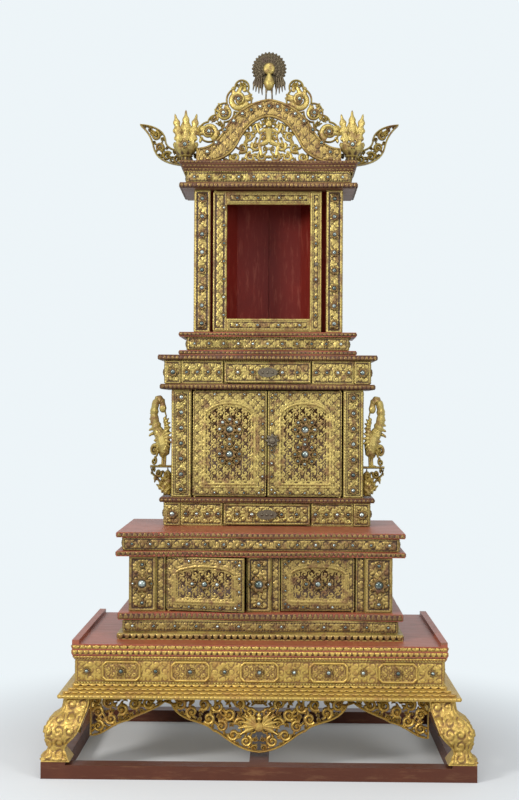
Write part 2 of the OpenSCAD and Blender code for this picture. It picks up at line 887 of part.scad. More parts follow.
// A lotus cup with three upright leaves
module finial() {
  cup_h = finial_h * 0.36;
  leaf_h = finial_h - cup_h * 0.8;
  rotate_extrude()
    polygon(concat([[0, 0], [32, 0]], curve([[20, 10], [24, 30], [46, 44], [44, cup_h]], 6), [[0, cup_h]]));
  for (i = [-1, 0, 1])
    translate([i * 26, 0, cup_h * 0.8])
      rotate([0, i * 8, 0])
        carved(-7, 14)
          polygon(concat(
            curve([[-9, 0], [-26, leaf_h * 0.4], [-8, leaf_h * 0.7], [0, leaf_h * (i == 0 ? 1 : 0.93)]]),
            curve([[0, leaf_h * (i == 0 ? 1 : 0.93)], [8, leaf_h * 0.7], [26, leaf_h * 0.4], [9, 0]])
          ));
}

module crown_finials() {
  color(old_gilt)
    for (s = [-1, 1])
      translate([upper_shift + s * (arch_half + 48), crest_y + crest_t / 2, crest_z])
        finial();
}

// A flat horn that curls up and outwards from the end of the cornice
module crest_horns() {
  root_x = niche_w / 2;
  tip_x = root_x + horn_reach;
  color(old_gilt)
    translate([upper_shift, 0, 0])
      both_sides()
        carved(crest_y + crest_t + 36, crest_t * 0.8)
          polygon(concat(
            curve([[root_x - 10, crest_z], [root_x + 80, crest_z], [tip_x - 70, crest_z + 10],
              [tip_x - 56, crest_z + horn_h * 0.45]]),
            curve([[tip_x - 56, crest_z + horn_h * 0.45], [tip_x - 46, crest_z + horn_h * 0.75],
              [tip_x - 20, crest_z + horn_h * 0.9], [tip_x, crest_z + horn_h]]),
            curve([[tip_x, crest_z + horn_h], [tip_x - 70, crest_z + horn_h * 0.98],
              [tip_x - 104, crest_z + horn_h * 0.8], [tip_x - 104, crest_z + horn_h * 0.6]]),
            curve([[tip_x - 104, crest_z + horn_h * 0.6], [tip_x - 110, crest_z + horn_h * 0.35],
              [root_x + 60, crest_z + 60], [root_x - 10, crest_z + 46]])
          ));
}

// A peacock with its fan spread, standing on the crown of the arch
module peacock() {
  fan_r = 72;
  legs_h = 26;
  fan_z = arch_z + peacock_h - fan_r;
  mid_y = crest_y + crest_t / 2;
  color(bronze)
    translate([upper_shift, 0, 0]) {
      carved(mid_y + 4, 10)
        union() {
          translate([0, fan_z]) circle(r = fan_r);
          translate([-fan_r * 0.8, arch_z + legs_h]) square([fan_r * 1.6, fan_z - arch_z - legs_h]);
        }
      carved(mid_y - 20, 34)
        translate([0, arch_z + legs_h + 40]) circle(r = 27);
      for (x = [-11, 11])
        translate([x - 4, mid_y - 4, arch_z])
          cube([8, 10, legs_h + 30]);
    }
}

foot_side_rails();
foot_cross_rails();
legs();
apron_front();
apron_sides();
apron_back();
base_bottom_board();
base_frieze();
table_top();
table_side_rails();
lower_plinth();
lower_floor();
lower_sides();
lower_back();
lower_pilasters();
lower_top_board();
lower_frieze();
lower_shelf();
lower_door_left();
lower_door_right();
lower_drawer_case();
lower_drawer();
lower_drawer_pull();
middle_floor();
middle_sides();
middle_back();
middle_pilasters();
middle_door_left();
middle_door_right();
middle_door_knob();
middle_top_board();
upper_drawer_case();
upper_drawer();
upper_drawer_pull();
upper_board();
bird_brackets();
niche_foot_board();
niche_plinth();
niche_floor();
niche_sides();
niche_back();
niche_lining();
niche_pilasters();
niche_door();
niche_door_knob();
cornice_moulding();
cornice_frieze();
cornice_top();
crest_arch();
crest_tympanum();
crest_scrolls();
crown_finials();
crest_horns();
peacock();
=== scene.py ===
# %% [markdown]
# # A tiered votive shrine of carved and gilded wood
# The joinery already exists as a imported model: boards, doors, drawers and pivots at their real size.
# This lesson gives it its looks. It carves the gilded relief, sets the glass jewels, cuts the open
# scrollwork and finishes every surface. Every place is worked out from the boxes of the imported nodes.

# %% Load the frame
import json
import math
import random

import bmesh
import bpy
import numpy as np
from mathutils import Matrix, Vector
from mathutils.bvhtree import BVHTree


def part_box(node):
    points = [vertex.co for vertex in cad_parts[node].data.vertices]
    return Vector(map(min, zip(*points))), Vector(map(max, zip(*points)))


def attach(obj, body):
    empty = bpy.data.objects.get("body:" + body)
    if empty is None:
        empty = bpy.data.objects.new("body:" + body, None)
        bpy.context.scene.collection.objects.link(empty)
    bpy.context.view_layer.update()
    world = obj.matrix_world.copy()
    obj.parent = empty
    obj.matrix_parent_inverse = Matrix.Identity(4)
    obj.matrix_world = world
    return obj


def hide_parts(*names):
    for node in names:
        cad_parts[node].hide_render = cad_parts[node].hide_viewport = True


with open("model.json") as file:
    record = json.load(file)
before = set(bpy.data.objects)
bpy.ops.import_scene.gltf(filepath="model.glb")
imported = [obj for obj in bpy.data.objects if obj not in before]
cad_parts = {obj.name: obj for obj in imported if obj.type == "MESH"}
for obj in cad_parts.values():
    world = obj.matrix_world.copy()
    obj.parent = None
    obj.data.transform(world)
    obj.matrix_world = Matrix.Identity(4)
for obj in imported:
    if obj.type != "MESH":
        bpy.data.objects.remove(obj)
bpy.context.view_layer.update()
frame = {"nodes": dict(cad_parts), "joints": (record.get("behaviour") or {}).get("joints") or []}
nodes = frame["nodes"]

# %% [markdown]
# ## Camera, floor and light
# A shrine this tall is seen from about five metres at eye height, with a lens a little longer than normal.
# The floor is pale and fades into a pale background. A large soft lamp stands on each side and one hangs
# above, so that gilding shows long soft highlights.

# %% Camera
EYE_HEIGHT = 1.377
CAMERA_DISTANCE = 5.275
YAW, PITCH, ROLL = math.radians(0.9), math.radians(90), math.radians(0.3)
camera_data = bpy.data.cameras.new("camera")
camera_data.lens = 59.0
camera_data.sensor_width = 36.0
camera_data.shift_x, camera_data.shift_y = -0.0035, 0.006
camera = bpy.data.objects.new("camera", camera_data)
bpy.context.scene.collection.objects.link(camera)
camera.location = (CAMERA_DISTANCE * math.sin(YAW), -CAMERA_DISTANCE * math.cos(YAW), EYE_HEIGHT)
turned = Matrix.Rotation(YAW, 4, "Z") @ Matrix.Rotation(PITCH, 4, "X") @ Matrix.Rotation(ROLL, 4, "Z")
camera.rotation_euler = turned.to_euler()
bpy.context.scene.camera = camera
print("camera at", tuple(round(c, 3) for c in camera.location))

# %% Helpers for node trees
def add_node(tree, kind, inputs=None, **settings):
    """Adds a node. Each input is a socket to link or a value; settings are the node's own properties."""
    made = tree.nodes.new(kind)
    for key, value in settings.items():
        setattr(made, key, value)
    for key, value in (inputs or {}).items():
        if isinstance(value, bpy.types.NodeSocket):
            tree.links.new(value, made.inputs[key])
        else:
            made.inputs[key].default_value = value
    return made


def object_place(tree):
    """A point's place in the frame of its object."""
    return add_node(tree, "ShaderNodeTexCoord").outputs["Object"]


def noise(tree, place, scale, detail, roughness=0.5):
    """The value of a noise texture."""
    values = {"Vector": place, "Scale": scale, "Detail": detail, "Roughness": roughness}
    return add_node(tree, "ShaderNodeTexNoise", values).outputs["Fac"]


def mix_colour(tree, factor, first, second):
    """Mixes two colours."""
    return add_node(tree, "ShaderNodeMix", {0: factor, 6: first, 7: second}, data_type="RGBA").outputs[2]


def sharpen(tree, value, low, high):
    """Stretches the values between low and high over 0 to 1, softly."""
    values = {"Value": value, "From Min": low, "From Max": high}
    return add_node(tree, "ShaderNodeMapRange", values, interpolation_type="SMOOTHSTEP").outputs["Result"]


def math_node(tree, operation, first, second):
    """One sum on two values, kept between 0 and 1."""
    values = {0: first, 1: second}
    return add_node(tree, "ShaderNodeMath", values, operation=operation, use_clamp=True).outputs[0]


def scaled(tree, vector, share):
    """A vector or colour times three shares."""
    return add_node(tree, "ShaderNodeVectorMath", {0: vector, 1: share}, operation="MULTIPLY").outputs[0]


def new_material(name):
    """A material with nodes, and its node tree."""
    material = bpy.data.materials.new(name)
    material.use_nodes = True
    return material, material.node_tree


def in_scene(name, data):
    """Makes an object and puts it in the scene."""
    made = bpy.data.objects.new(name, data)
    bpy.context.scene.collection.objects.link(made)
    return made


print("node helpers ready")

# %% Floor that fades into the background
STUDIO = (0.85, 0.91, 0.94, 1)
FLOOR_GREY = (0.66, 0.67, 0.68, 1)
FADE = {"From Min": 0.70, "From Max": 1.9, "To Min": 0.08, "To Max": 1.0}
JUST_UNDER = -0.0005


def seen_rays(tree):
    """1 for rays that come from the camera, a mirror or glass, so that all three see one background."""
    path = add_node(tree, "ShaderNodeLightPath").outputs
    total = path["Is Camera Ray"]
    for label in ("Is Glossy Ray", "Is Transmission Ray"):
        total = math_node(tree, "ADD", total, path[label])
    return total


def fading_floor_material():
    """A pale floor that takes shadows near the shrine and fades to the background colour far from it."""
    material, tree = new_material("studio_floor")
    tree.nodes.clear()
    far = add_node(tree, "ShaderNodeVectorMath", {0: object_place(tree)}, operation="LENGTH").outputs["Value"]
    fade = add_node(tree, "ShaderNodeMapRange", {"Value": far, **FADE}, interpolation_type="SMOOTHSTEP")
    share = math_node(tree, "MULTIPLY", seen_rays(tree), fade.outputs["Result"])
    diffuse = add_node(tree, "ShaderNodeBsdfDiffuse", {"Color": FLOOR_GREY}).outputs[0]
    glow = add_node(tree, "ShaderNodeEmission", {"Color": STUDIO}).outputs[0]
    mix = add_node(tree, "ShaderNodeMixShader", {0: share, 1: diffuse, 2: glow}).outputs[0]
    add_node(tree, "ShaderNodeOutputMaterial", {0: mix})
    return material


def make_floor(radius=14.0, sides=64):
    """A flat round floor just under the foot frame, open on every side so that any view is clear."""
    mesh = bpy.data.meshes.new("floor")
    turns = [2 * math.pi * k / sides for k in range(sides)]
    rim = [(radius * math.cos(a), radius * math.sin(a), JUST_UNDER) for a in turns]
    mesh.from_pydata(rim, [], [tuple(range(sides))])
    mesh.materials.append(fading_floor_material())
    in_scene("floor", mesh)


make_floor()
print("floor made")

# %% Lamps and sky
LAMP_TARGET = Vector((0, 0, 1.3))


def lamp(name, place, size, watts, colour):
    """A square soft lamp that points at the middle of the shrine."""
    data = bpy.data.lights.new(name, "AREA")
    data.size, data.energy, data.color = size, watts, colour
    light = in_scene(name, data)
    light.location = place
    light.rotation_euler = (LAMP_TARGET - Vector(place)).to_track_quat("-Z", "Y").to_euler()


lamp("lamp_left", (-3.4, -3.6, 2.8), 1.1, 185, (1.0, 0.98, 0.95))
lamp("lamp_right", (3.2, -3.8, 2.4), 1.6, 90, (1.0, 0.99, 0.97))
lamp("lamp_over", (0.0, -2.0, 4.6), 2.5, 60, (1.0, 1.0, 1.0))
world = bpy.data.worlds.new("studio_air")
world.use_nodes = True
air = world.node_tree
sky_light = air.nodes["Background"]
sky_light.inputs["Color"].default_value = (0.80, 0.84, 0.88, 1)
sky_light.inputs["Strength"].default_value = 0.55
seen = add_node(air, "ShaderNodeBackground", {"Color": STUDIO}).outputs[0]
either = add_node(air, "ShaderNodeMixShader", {0: seen_rays(air), 1: sky_light.outputs[0], 2: seen})
air.links.new(either.outputs[0], air.nodes["World Output"].inputs["Surface"])
bpy.context.scene.world = world
bpy.context.scene.view_settings.view_transform = "Standard"
print("lamps made")

# %% [markdown]
# ## Finishes
# Old gilding isn't one colour. It is bright on the ridges and rubbed through to red lacquer on the edges,
# and its hollows are darkened with painted shade. One node group gives that aging and that painted shade
# to every gilded finish. It takes the height of the carving from an attribute that each carved piece stores
# as "relief".

# %% A group for aged gilding with painted shade
def new_group(name, inputs, outputs):
    """An empty shader node group, the sockets it takes and the sockets it gives."""
    group = bpy.data.node_groups.new(name, "ShaderNodeTree")
    for label, (kind, value) in inputs.items():
        group.interface.new_socket(label, in_out="INPUT", socket_type=kind).default_value = value
    for label, kind in outputs.items():
        group.interface.new_socket(label, in_out="OUTPUT", socket_type=kind)
    return group, group.nodes.new("NodeGroupInput").outputs, group.nodes.new("NodeGroupOutput").inputs


COLOUR, NUMBER, VECTOR = "NodeSocketColor", "NodeSocketFloat", "NodeSocketVector"


def build_gilding_group():
    """Aged gilding: gold and rubbed patches, and painted shade in the hollows from the height of the carving.
    """
    group, taken, given = new_group(
        "aged_gilding_and_painted_shade",
        {"Gold": (COLOUR, (0.8, 0.55, 0.18, 1)), "Ground": (COLOUR, (0.25, 0.07, 0.03, 1)),
         "Painted_hollow_shade": (COLOUR, (0.06, 0.03, 0.015, 1)), "Relief": (NUMBER, 1.0), "Wear": (NUMBER, 0.4)},
        {"Color": COLOUR, "Metal": NUMBER, "Roughness": NUMBER, "Height": NUMBER})
    gold = taken["Gold"]
    place = object_place(group)
    patches = noise(group, place, 26.0, 6.0, 0.65)
    grain = noise(group, place, 240.0, 3.0, 0.6)
    broad = sharpen(group, noise(group, place, 3.1, 3.0), 0.35, 0.68)
    rubbed = math_node(group, "MULTIPLY", sharpen(group, patches, 0.48, 0.66), taken["Wear"])
    tone = mix_colour(group, broad, gold, scaled(group, gold, (0.60, 0.64, 0.58)))
    toned = mix_colour(group, 0.42, gold, tone)
    fine = math_node(group, "MULTIPLY", sharpen(group, grain, 0.42, 0.68), 0.62)
    speckled = mix_colour(group, fine, toned, scaled(group, gold, (0.42, 0.36, 0.32)))
    worn = mix_colour(group, rubbed, speckled, taken["Ground"])
    # The low parts of the carving are painted in the dark shade colour; only the raised parts keep the gold.
    raised = sharpen(group, taken["Relief"], 0.17, 0.62)
    shine = math_node(group, "MULTIPLY", raised, math_node(group, "SUBTRACT", 1.0, rubbed))
    halves = [math_node(group, "MULTIPLY", value, 0.5) for value in (grain, patches)]
    for label, value in (
            ("Color", mix_colour(group, raised, taken["Painted_hollow_shade"], worn)),
            ("Metal", math_node(group, "MULTIPLY", shine, 0.70)),
            ("Roughness", math_node(group, "ADD", math_node(group, "MULTIPLY", grain, 0.40), 0.24)),
            ("Height", math_node(group, "ADD", *halves))):
        group.links.new(value, given[label])
    return group


gilding_group = build_gilding_group()
print("group", gilding_group.name, "made")

# %% [markdown]
# ## A group for old lacquer
# Lacquered boards have their own aging: long scuffs along the grain, and edges and patches rubbed down to
# dark wood. The same group serves the bright red boards and the nearly black foot frame.

# %% A group for worn lacquer
def build_lacquer_group():
    """Worn lacquer: a coat over wood, with scuffs along the grain and dull dust in broad patches."""
    group, taken, given = new_group(
        "worn_lacquer_look",
        {"Coat": (COLOUR, (0.4, 0.06, 0.04, 1)), "Wood": (COLOUR, (0.12, 0.06, 0.035, 1)),
         "Wear": (NUMBER, 0.5), "Along": (VECTOR, (1.0, 6.0, 6.0))},
        {"Color": COLOUR, "Roughness": NUMBER, "Height": NUMBER})
    place = object_place(group)
    stretched = scaled(group, place, taken["Along"])
    scuffs = noise(group, stretched, 9.0, 8.0, 0.7)
    patches = noise(group, place, 7.0, 5.0, 0.6)
    rubbed = math_node(group, "MULTIPLY", sharpen(group, scuffs, 0.50, 0.68), taken["Wear"])
    dusty = math_node(group, "MULTIPLY", sharpen(group, patches, 0.48, 0.72), 0.38)
    bare = mix_colour(group, rubbed, taken["Coat"], taken["Wood"])
    for label, value in (
            ("Color", mix_colour(group, dusty, bare, scaled(group, bare, (1.45, 1.5, 1.35)))),
            ("Roughness", math_node(group, "ADD", math_node(group, "MULTIPLY", scuffs, 0.4), 0.26)),
            ("Height", noise(group, stretched, 70.0, 4.0))):
        group.links.new(value, given[label])
    return group


lacquer_group = build_lacquer_group()
print("group", lacquer_group.name, "made")

# %% Materials from the two groups
BUMP_DISTANCE = 0.002


def shaded(name, group, values, bump, relief=False, coat=0.0):
    """A material whose colour, roughness and bump come from one of the groups."""
    material, tree = new_material(name)
    shader = tree.nodes["Principled BSDF"]
    look = tree.nodes.new("ShaderNodeGroup")
    look.node_tree = group
    for key, value in values.items():
        look.inputs[key].default_value = value
    # With relief, the stored height of the carving paints shade into its hollows.
    if relief:
        height = add_node(tree, "ShaderNodeAttribute", attribute_name="relief")
        tree.links.new(height.outputs["Fac"], look.inputs["Relief"])
    for given, target in (("Color", "Base Color"), ("Roughness", "Roughness"), ("Metal", "Metallic")):
        if given in look.outputs:
            tree.links.new(look.outputs[given], shader.inputs[target])
    raised = add_node(tree, "ShaderNodeBump",
                      {"Height": look.outputs["Height"], "Strength": bump, "Distance": BUMP_DISTANCE})
    tree.links.new(raised.outputs[0], shader.inputs["Normal"])
    shader.inputs["Coat Weight"].default_value = coat
    shader.inputs["Coat Roughness"].default_value = 0.3
    shader.inputs["Specular IOR Level"].default_value = 0.5 if coat else 0.25
    return material


BRIGHT_GOLD = (0.60, 0.41, 0.11, 1)
OLD_GOLD = (0.50, 0.385, 0.125, 1)
RED_GROUND = (0.22, 0.055, 0.03, 1)
bright_gilding = shaded("bright_gilding", gilding_group,
                        {"Gold": BRIGHT_GOLD, "Ground": RED_GROUND, "Wear": 0.35}, 0.35)
# In the carved finishes below, the dark colour given for the hollows is painted shade.
bright_carving = shaded("bright_carving", gilding_group,
                        {"Gold": BRIGHT_GOLD, "Ground": RED_GROUND, "Painted_hollow_shade": (0.17, 0.09, 0.03, 1),
                         "Wear": 0.4}, 0.3, relief=True)
old_gilding = shaded("old_gilding", gilding_group, {"Gold": OLD_GOLD, "Ground": RED_GROUND, "Wear": 0.7}, 0.4)
old_carving = shaded("old_carving", gilding_group,
                     {"Gold": OLD_GOLD, "Ground": (0.16, 0.07, 0.032, 1), "Painted_hollow_shade": (0.050, 0.025, 0.011, 1),
                      "Wear": 0.8}, 0.35, relief=True)
sooty_carving = shaded("sooty_carving", gilding_group,
                       {"Gold": (0.41, 0.29, 0.095, 1), "Ground": (0.13, 0.055, 0.027, 1),
                        "Painted_hollow_shade": (0.040, 0.019, 0.009, 1), "Wear": 0.9}, 0.35, relief=True)
edge_carving = shaded("edge_carving", gilding_group,
                      {"Gold": (0.24, 0.15, 0.055, 1), "Ground": (0.10, 0.042, 0.022, 1),
                       "Painted_hollow_shade": (0.065, 0.025, 0.015, 1), "Wear": 0.9}, 0.35, relief=True)
red_lacquer = shaded("red_lacquer", lacquer_group,
                     {"Coat": (0.27, 0.062, 0.027, 1), "Wood": (0.17, 0.075, 0.035, 1), "Wear": 0.75},
                     0.2, coat=0.15)
# The niche lining is a darker red than the boards: painted shade for the dim recess.
niche_lacquer = shaded("niche_lacquer", lacquer_group,
                       {"Coat": (0.155, 0.012, 0.007, 1), "Wood": (0.36, 0.10, 0.065, 1), "Wear": 0.40,
                        "Along": (7.0, 7.0, 1.0)}, 0.2)
dark_lacquer = shaded("dark_lacquer", lacquer_group,
                      {"Coat": (0.085, 0.025, 0.013, 1), "Wood": (0.14, 0.060, 0.030, 1), "Wear": 0.7}, 0.3)
edge_lacquer = shaded("edge_lacquer", lacquer_group,
                      {"Coat": (0.14, 0.055, 0.028, 1), "Wood": (0.085, 0.04, 0.022, 1), "Wear": 0.8}, 0.3)
bronze = shaded("tarnished_bronze", gilding_group,
                {"Gold": (0.17, 0.14, 0.10, 1), "Ground": (0.06, 0.045, 0.03, 1), "Wear": 0.6}, 0.3)
peacock_finish = shaded("peacock_silvering", gilding_group,
                        {"Gold": (0.11, 0.085, 0.052, 1), "Ground": (0.06, 0.035, 0.025, 1),
                         "Painted_hollow_shade": (0.035, 0.025, 0.02, 1), "Wear": 0.6}, 0.3, relief=True)
print(len(bpy.data.materials), "materials made")

# %% [markdown]
# ## Glass jewels
# The jewels are small domes of mirror glass, cloudy with age. A plain Principled shader with a strong
# coat does this: dark grey-green with a few pale, silvery patches.

# %% Glass material
def glass_jewel_material():
    """Cloudy mirror glass: grey-green, with pale patches, under a glossy coat."""
    material, tree = new_material("jewel_glass")
    shader = tree.nodes["Principled BSDF"]
    cloud = noise(tree, object_place(tree), 31.0, 3.0)
    hue = mix_colour(tree, sharpen(tree, cloud, 0.42, 0.66), (0.045, 0.07, 0.06, 1), (0.40, 0.46, 0.43, 1))
    tree.links.new(hue, shader.inputs["Base Color"])
    tree.links.new(math_node(tree, "MULTIPLY", cloud, 0.4), shader.inputs["Roughness"])
    for label, value in (("Metallic", 0.55), ("Coat Weight", 0.8), ("Coat Roughness", 0.08)):
        shader.inputs[label].default_value = value
    return material


jewel_glass = glass_jewel_material()
print("glass made")

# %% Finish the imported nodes
NODE_FINISH = {
    red_lacquer: ["table_top", "table_side_rails", "lower_floor", "lower_top_board", "lower_shelf",
                  "niche_foot_board", "niche_floor"],
    niche_lacquer: ["niche_back", "niche_lining"],
    dark_lacquer: ["foot_side_rails", "foot_cross_rails", "lower_back", "middle_back"],
    edge_lacquer: ["middle_floor", "middle_top_board", "upper_board", "cornice_moulding", "cornice_top"],
    bronze: ["middle_door_knob", "niche_door_knob", "lower_drawer_pull", "upper_drawer_pull"],
    bright_gilding: ["base_bottom_board", "base_frieze", "legs", "apron_front", "apron_sides", "apron_back"],
    peacock_finish: ["peacock"],
}
finish_of = {name: material for material, names in NODE_FINISH.items() for name in names}
for name, node_object in nodes.items():
    node_object.data.materials.clear()
    node_object.data.materials.append(finish_of.get(name, old_gilding))
print(len(nodes), "nodes finished")

# %% [markdown]
# ## Carved relief
# Nearly every gilded face carries shallow carving: running vines with a bud in each turn, leaf borders and
# rows of petals. Bump alone would look flat from the side, so each face gets a fine sheet of real geometry.
# A formula gives the height at each point, the sheet's rim runs a little into the board, and the height is
# also stored as the attribute "relief", which the gilding reads to paint shade into the hollows.

# %% A store for meshes under construction
def relief_mesh(name, points, faces, relief, smooth=True):
    """A mesh that stores the height of its carving, with its faces turned outwards."""
    mesh = bpy.data.meshes.new(name)
    mesh.from_pydata(points, [], faces)
    stored = mesh.attributes.new("relief", "FLOAT", "POINT")
    stored.data.foreach_set("value", np.asarray(relief, np.float32))
    work = bmesh.new()
    work.from_mesh(mesh)
    bmesh.ops.recalc_face_normals(work, faces=work.faces)
    work.to_mesh(mesh)
    work.free()
    if smooth:
        mesh.shade_smooth()
    return mesh


class Carving:
    """Collects points, faces and relief values, and turns them into one piece of the shrine."""

    def __init__(self):
        self.points, self.faces, self.relief = [], [], []
        self.count = 0

    def add(self, points, faces, relief):
        """Adds a block of points, with faces that count from the block's own first point."""
        self.points.append(np.asarray(points, float).reshape(-1, 3))
        self.relief.append(np.asarray(relief, float).ravel())
        self.faces += [tuple(int(i) + self.count for i in face) for face in faces]
        self.count += len(self.points[-1])

    def piece(self, name, body, material, slot, smooth=True):
        """Makes the object, gives it its finish and lets it ride on a body."""
        points = np.concatenate(self.points).tolist()
        mesh = relief_mesh(name, points, self.faces, np.concatenate(self.relief), smooth)
        mesh.materials.append(material)
        made = in_scene(name, mesh)
        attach(made, body)
        return made


def on_plane(origin, along, up):
    """A placing rule for a flat face: u runs along, v runs up, and depth stands out of the face."""
    origin, along, up = (np.array(p, float) for p in (origin, along, up))
    out = np.cross(along, up)
    return lambda u, v, d: (origin + u[..., None] * along + v[..., None] * up + d[..., None] * out)


def carve(into, place, width, height, pattern, depth, step=0.0036, level=None, sink=0.003):
    """Adds a sheet of relief: pattern gives 0 to 1 over the sheet, level lifts or sinks its ground."""
    columns = max(6, round(width / step))
    rows = max(4, round(height / step))
    u, v = np.meshgrid(np.linspace(0, width, columns + 1), np.linspace(0, height, rows + 1), indexing="ij")
    raised = np.clip(pattern(u, v, width, height), 0, 1)
    out = raised * depth + (level(u, v, width, height) if level else 0)
    rim = np.zeros_like(u, bool)
    rim[[0, -1], :] = True
    rim[:, [0, -1]] = True
    out = np.where(rim, -sink, out)
    index = np.arange(u.size).reshape(u.shape)
    quads = np.stack([index[:-1, :-1], index[1:, :-1], index[1:, 1:], index[:-1, 1:]], -1).reshape(-1, 4)
    back = [[*index[0], index[1, -1], index[1, 0]], [index[-2, 0], index[-2, -1], *index[-1, ::-1]]]
    back += np.stack([index[1:-2, 0], index[1:-2, -1], index[2:-1, -1], index[2:-1, 0]], -1).tolist()
    into.add(place(u, v, out), quads.tolist() + back, raised)


print("carving tools ready")

# %% Patterns: vines, petals, beads and borders
def vine(pitch):
    """Rolling scrolls, one to a cell, that turn by turns to the left and right, with a bud in each."""
    def pattern(u, v, width, height):
        across = max(1, round(width / pitch))
        upward = max(1, round(height / pitch))
        cell_w, cell_h = width / across, height / upward
        u = u + 0.0011 * np.sin(v * 410 + u * 95)
        v = v + 0.0011 * np.sin(u * 380 + v * 120)
        i = np.clip(np.floor(u / cell_w), 0, across - 1)
        j = np.clip(np.floor(v / cell_h), 0, upward - 1)
        x = 2 * ((u - i * cell_w) / cell_w - 0.5)
        y = 2 * ((v - j * cell_h) / cell_h - 0.5)
        far = np.hypot(x, y)
        turn = np.arctan2(y, x) * np.where((i + j) % 2 > 0, 1.0, -1.0)
        stem = np.clip(0.55 + 0.6 * np.cos(turn + 9.5 * np.sqrt(far + 0.01)), 0, 1)
        stem = stem * np.clip((1.12 - far) * 6, 0, 1)
        bud = np.exp(-(far / 0.22) ** 2)
        from_x, from_y = 1 - np.abs(x), 1 - np.abs(y)
        lobes = 0.8 + 0.2 * np.cos(6 * np.arctan2(from_y, from_x))
        leaves = np.exp(-(np.hypot(from_x, from_y) / 0.42) ** 2) * lobes
        return 0.16 + 0.84 * np.clip(np.maximum(np.maximum(stem, bud), leaves), 0, 1)
    return pattern


def petals(pitch, upside_down=False):
    """A row of pointed petals with a rib each."""
    def pattern(u, v, width, height):
        count = max(1, round(width / pitch))
        x = np.abs(2 * (np.mod(u / width * count, 1.0) - 0.5))
        y = v / height
        y = 1 - y if upside_down else y
        reach = 1 - x ** 1.6
        inside = np.clip((reach - y) * 5 + 0.4, 0, 1)
        rib = np.exp(-(x / 0.16) ** 2) * 0.3
        return np.clip(inside * (0.55 + 0.35 * (1 - x)) + inside * rib, 0, 1)
    return pattern


def beads(pitch):
    """A row of round beads."""
    def pattern(u, v, width, height):
        count = max(1, round(width / pitch))
        x = 2 * (np.mod(u / width * count, 1.0) - 0.5)
        y = 2 * (v / height - 0.5)
        return np.sqrt(np.clip(1 - x * x - y * y, 0, 1))
    return pattern


def edge_distance(u, v, width, height):
    """How far a point lies inside the nearest edge of its sheet."""
    return np.minimum(np.minimum(u, width - u), np.minimum(v, height - v))


def bordered(inner, rim, groove=0.0028):
    """A raised, notched rim round an inner pattern, with a dark groove between them."""
    def pattern(u, v, width, height):
        inside = edge_distance(u, v, width, height)
        notch = 0.78 + 0.22 * np.cos((u + v) * 2 * math.pi / 0.012)
        band = np.clip(1 - np.abs(inside - rim * 0.5) / (rim * 0.5), 0, 1) ** 0.5 * notch
        field = inner(u - rim, v - rim, width - 2 * rim, height - 2 * rim)
        return np.where(inside < rim, band, np.where(inside < rim + groove, 0.12, field))
    return pattern


def bowed(amount):
    """Lifts a long sheet in gentle waves: full at both ends and in the middle, low between."""
    return lambda u, v, width, height: amount * (0.5 + 0.5 * np.cos(4 * math.pi * u / width))


print("patterns ready")

# %% [markdown]
# ## Which faces are carved
# The front and both ends of each frieze and moulding carry the same pattern, so one helper wraps a band
# round three sides of a node's box. The back stands against a wall and stays plain on such furniture.

# %% Bands round three sides of a box
FRONT, RIGHT, LEFT = "front", "right", "left"
ENDS = (RIGHT, LEFT)


def face_of(low, high, side, z0, z1, out=0.0):
    """Placing rule and size of a strip on one side of a box, between two heights."""
    if side == FRONT:
        width = high.x - low.x + 2 * out
        return on_plane((low.x - out, low.y - out, z0), (1, 0, 0), (0, 0, 1)), width, z1 - z0
    if side == RIGHT:
        return on_plane((high.x + out, low.y - out, z0), (0, 1, 0), (0, 0, 1)), high.y - low.y + out, z1 - z0
    return on_plane((low.x - out, high.y, z0), (0, -1, 0), (0, 0, 1)), high.y - low.y + out, z1 - z0


def carve_sides(into, low, high, z0, z1, pattern, depth, step, sides=(FRONT, RIGHT, LEFT), out=0.0,
                level=None):
    """Carves sides of a box between two heights; level shapes the front alone."""
    for side in sides:
        place, width, height = face_of(low, high, side, z0, z1, out)
        carve(into, place, width, height, pattern, depth, step, level if side == FRONT else None)


def band(into, node, pattern, depth, z_from=0.0, z_to=1.0, level=None, step=0.0040, inset=0.0):
    """Carves the front and both ends of a node's box, over a share of its height."""
    low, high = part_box(node)
    tall = high.z - low.z
    carve_sides(into, low, high, low.z + tall * z_from, low.z + tall * z_to, pattern, depth, step,
                out=-inset, level=level)


def carve_ends(into, node, pattern, step):
    """Carves the two ends of a node's box."""
    low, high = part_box(node)
    carve_sides(into, low, high, low.z, high.z, pattern, 0.005, step, ENDS)


def wavy_band(into, node, pattern, depth, wave=0.009, step=0.0040):
    """Carves the waving front edge of a serpentine board, and its straight ends."""
    low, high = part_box(node)
    middle = (low.x + high.x) / 2
    width = high.x - low.x

    def place(u, v, d):
        x = low.x + u
        y = low.y + wave * (1 - np.cos(4 * math.pi * (x - middle) / width)) - d
        return np.stack([x, y, low.z + v], -1)

    carve(into, place, width, high.z - low.z, pattern, depth, step)
    carve_sides(into, low, high, low.z, high.z, pattern, depth, step, ENDS)


def panel_on(into, x0, x1, y, z0, z1, pattern, depth, level=None):
    """Carves an upright panel that faces the front."""
    carve(into, on_plane((x0, y, z0), (1, 0, 0), (0, 0, 1)), x1 - x0, z1 - z0, pattern, depth, level=level)


def end_pilasters(into, node, width, pattern):
    """Carves the pilaster at each end of a node."""
    low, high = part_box(node)
    for x0 in (low.x, high.x - width):
        panel_on(into, x0, x0 + width, low.y, low.z, high.z, pattern, 0.007)


print("band tools ready")

# %% [markdown]
# ## The table's gilding
# The table is the brightest part: a flared bottom moulding of petals, a frieze with five clipped frames,
# a bead row and a top moulding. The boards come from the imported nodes, and only their skin is carved here.

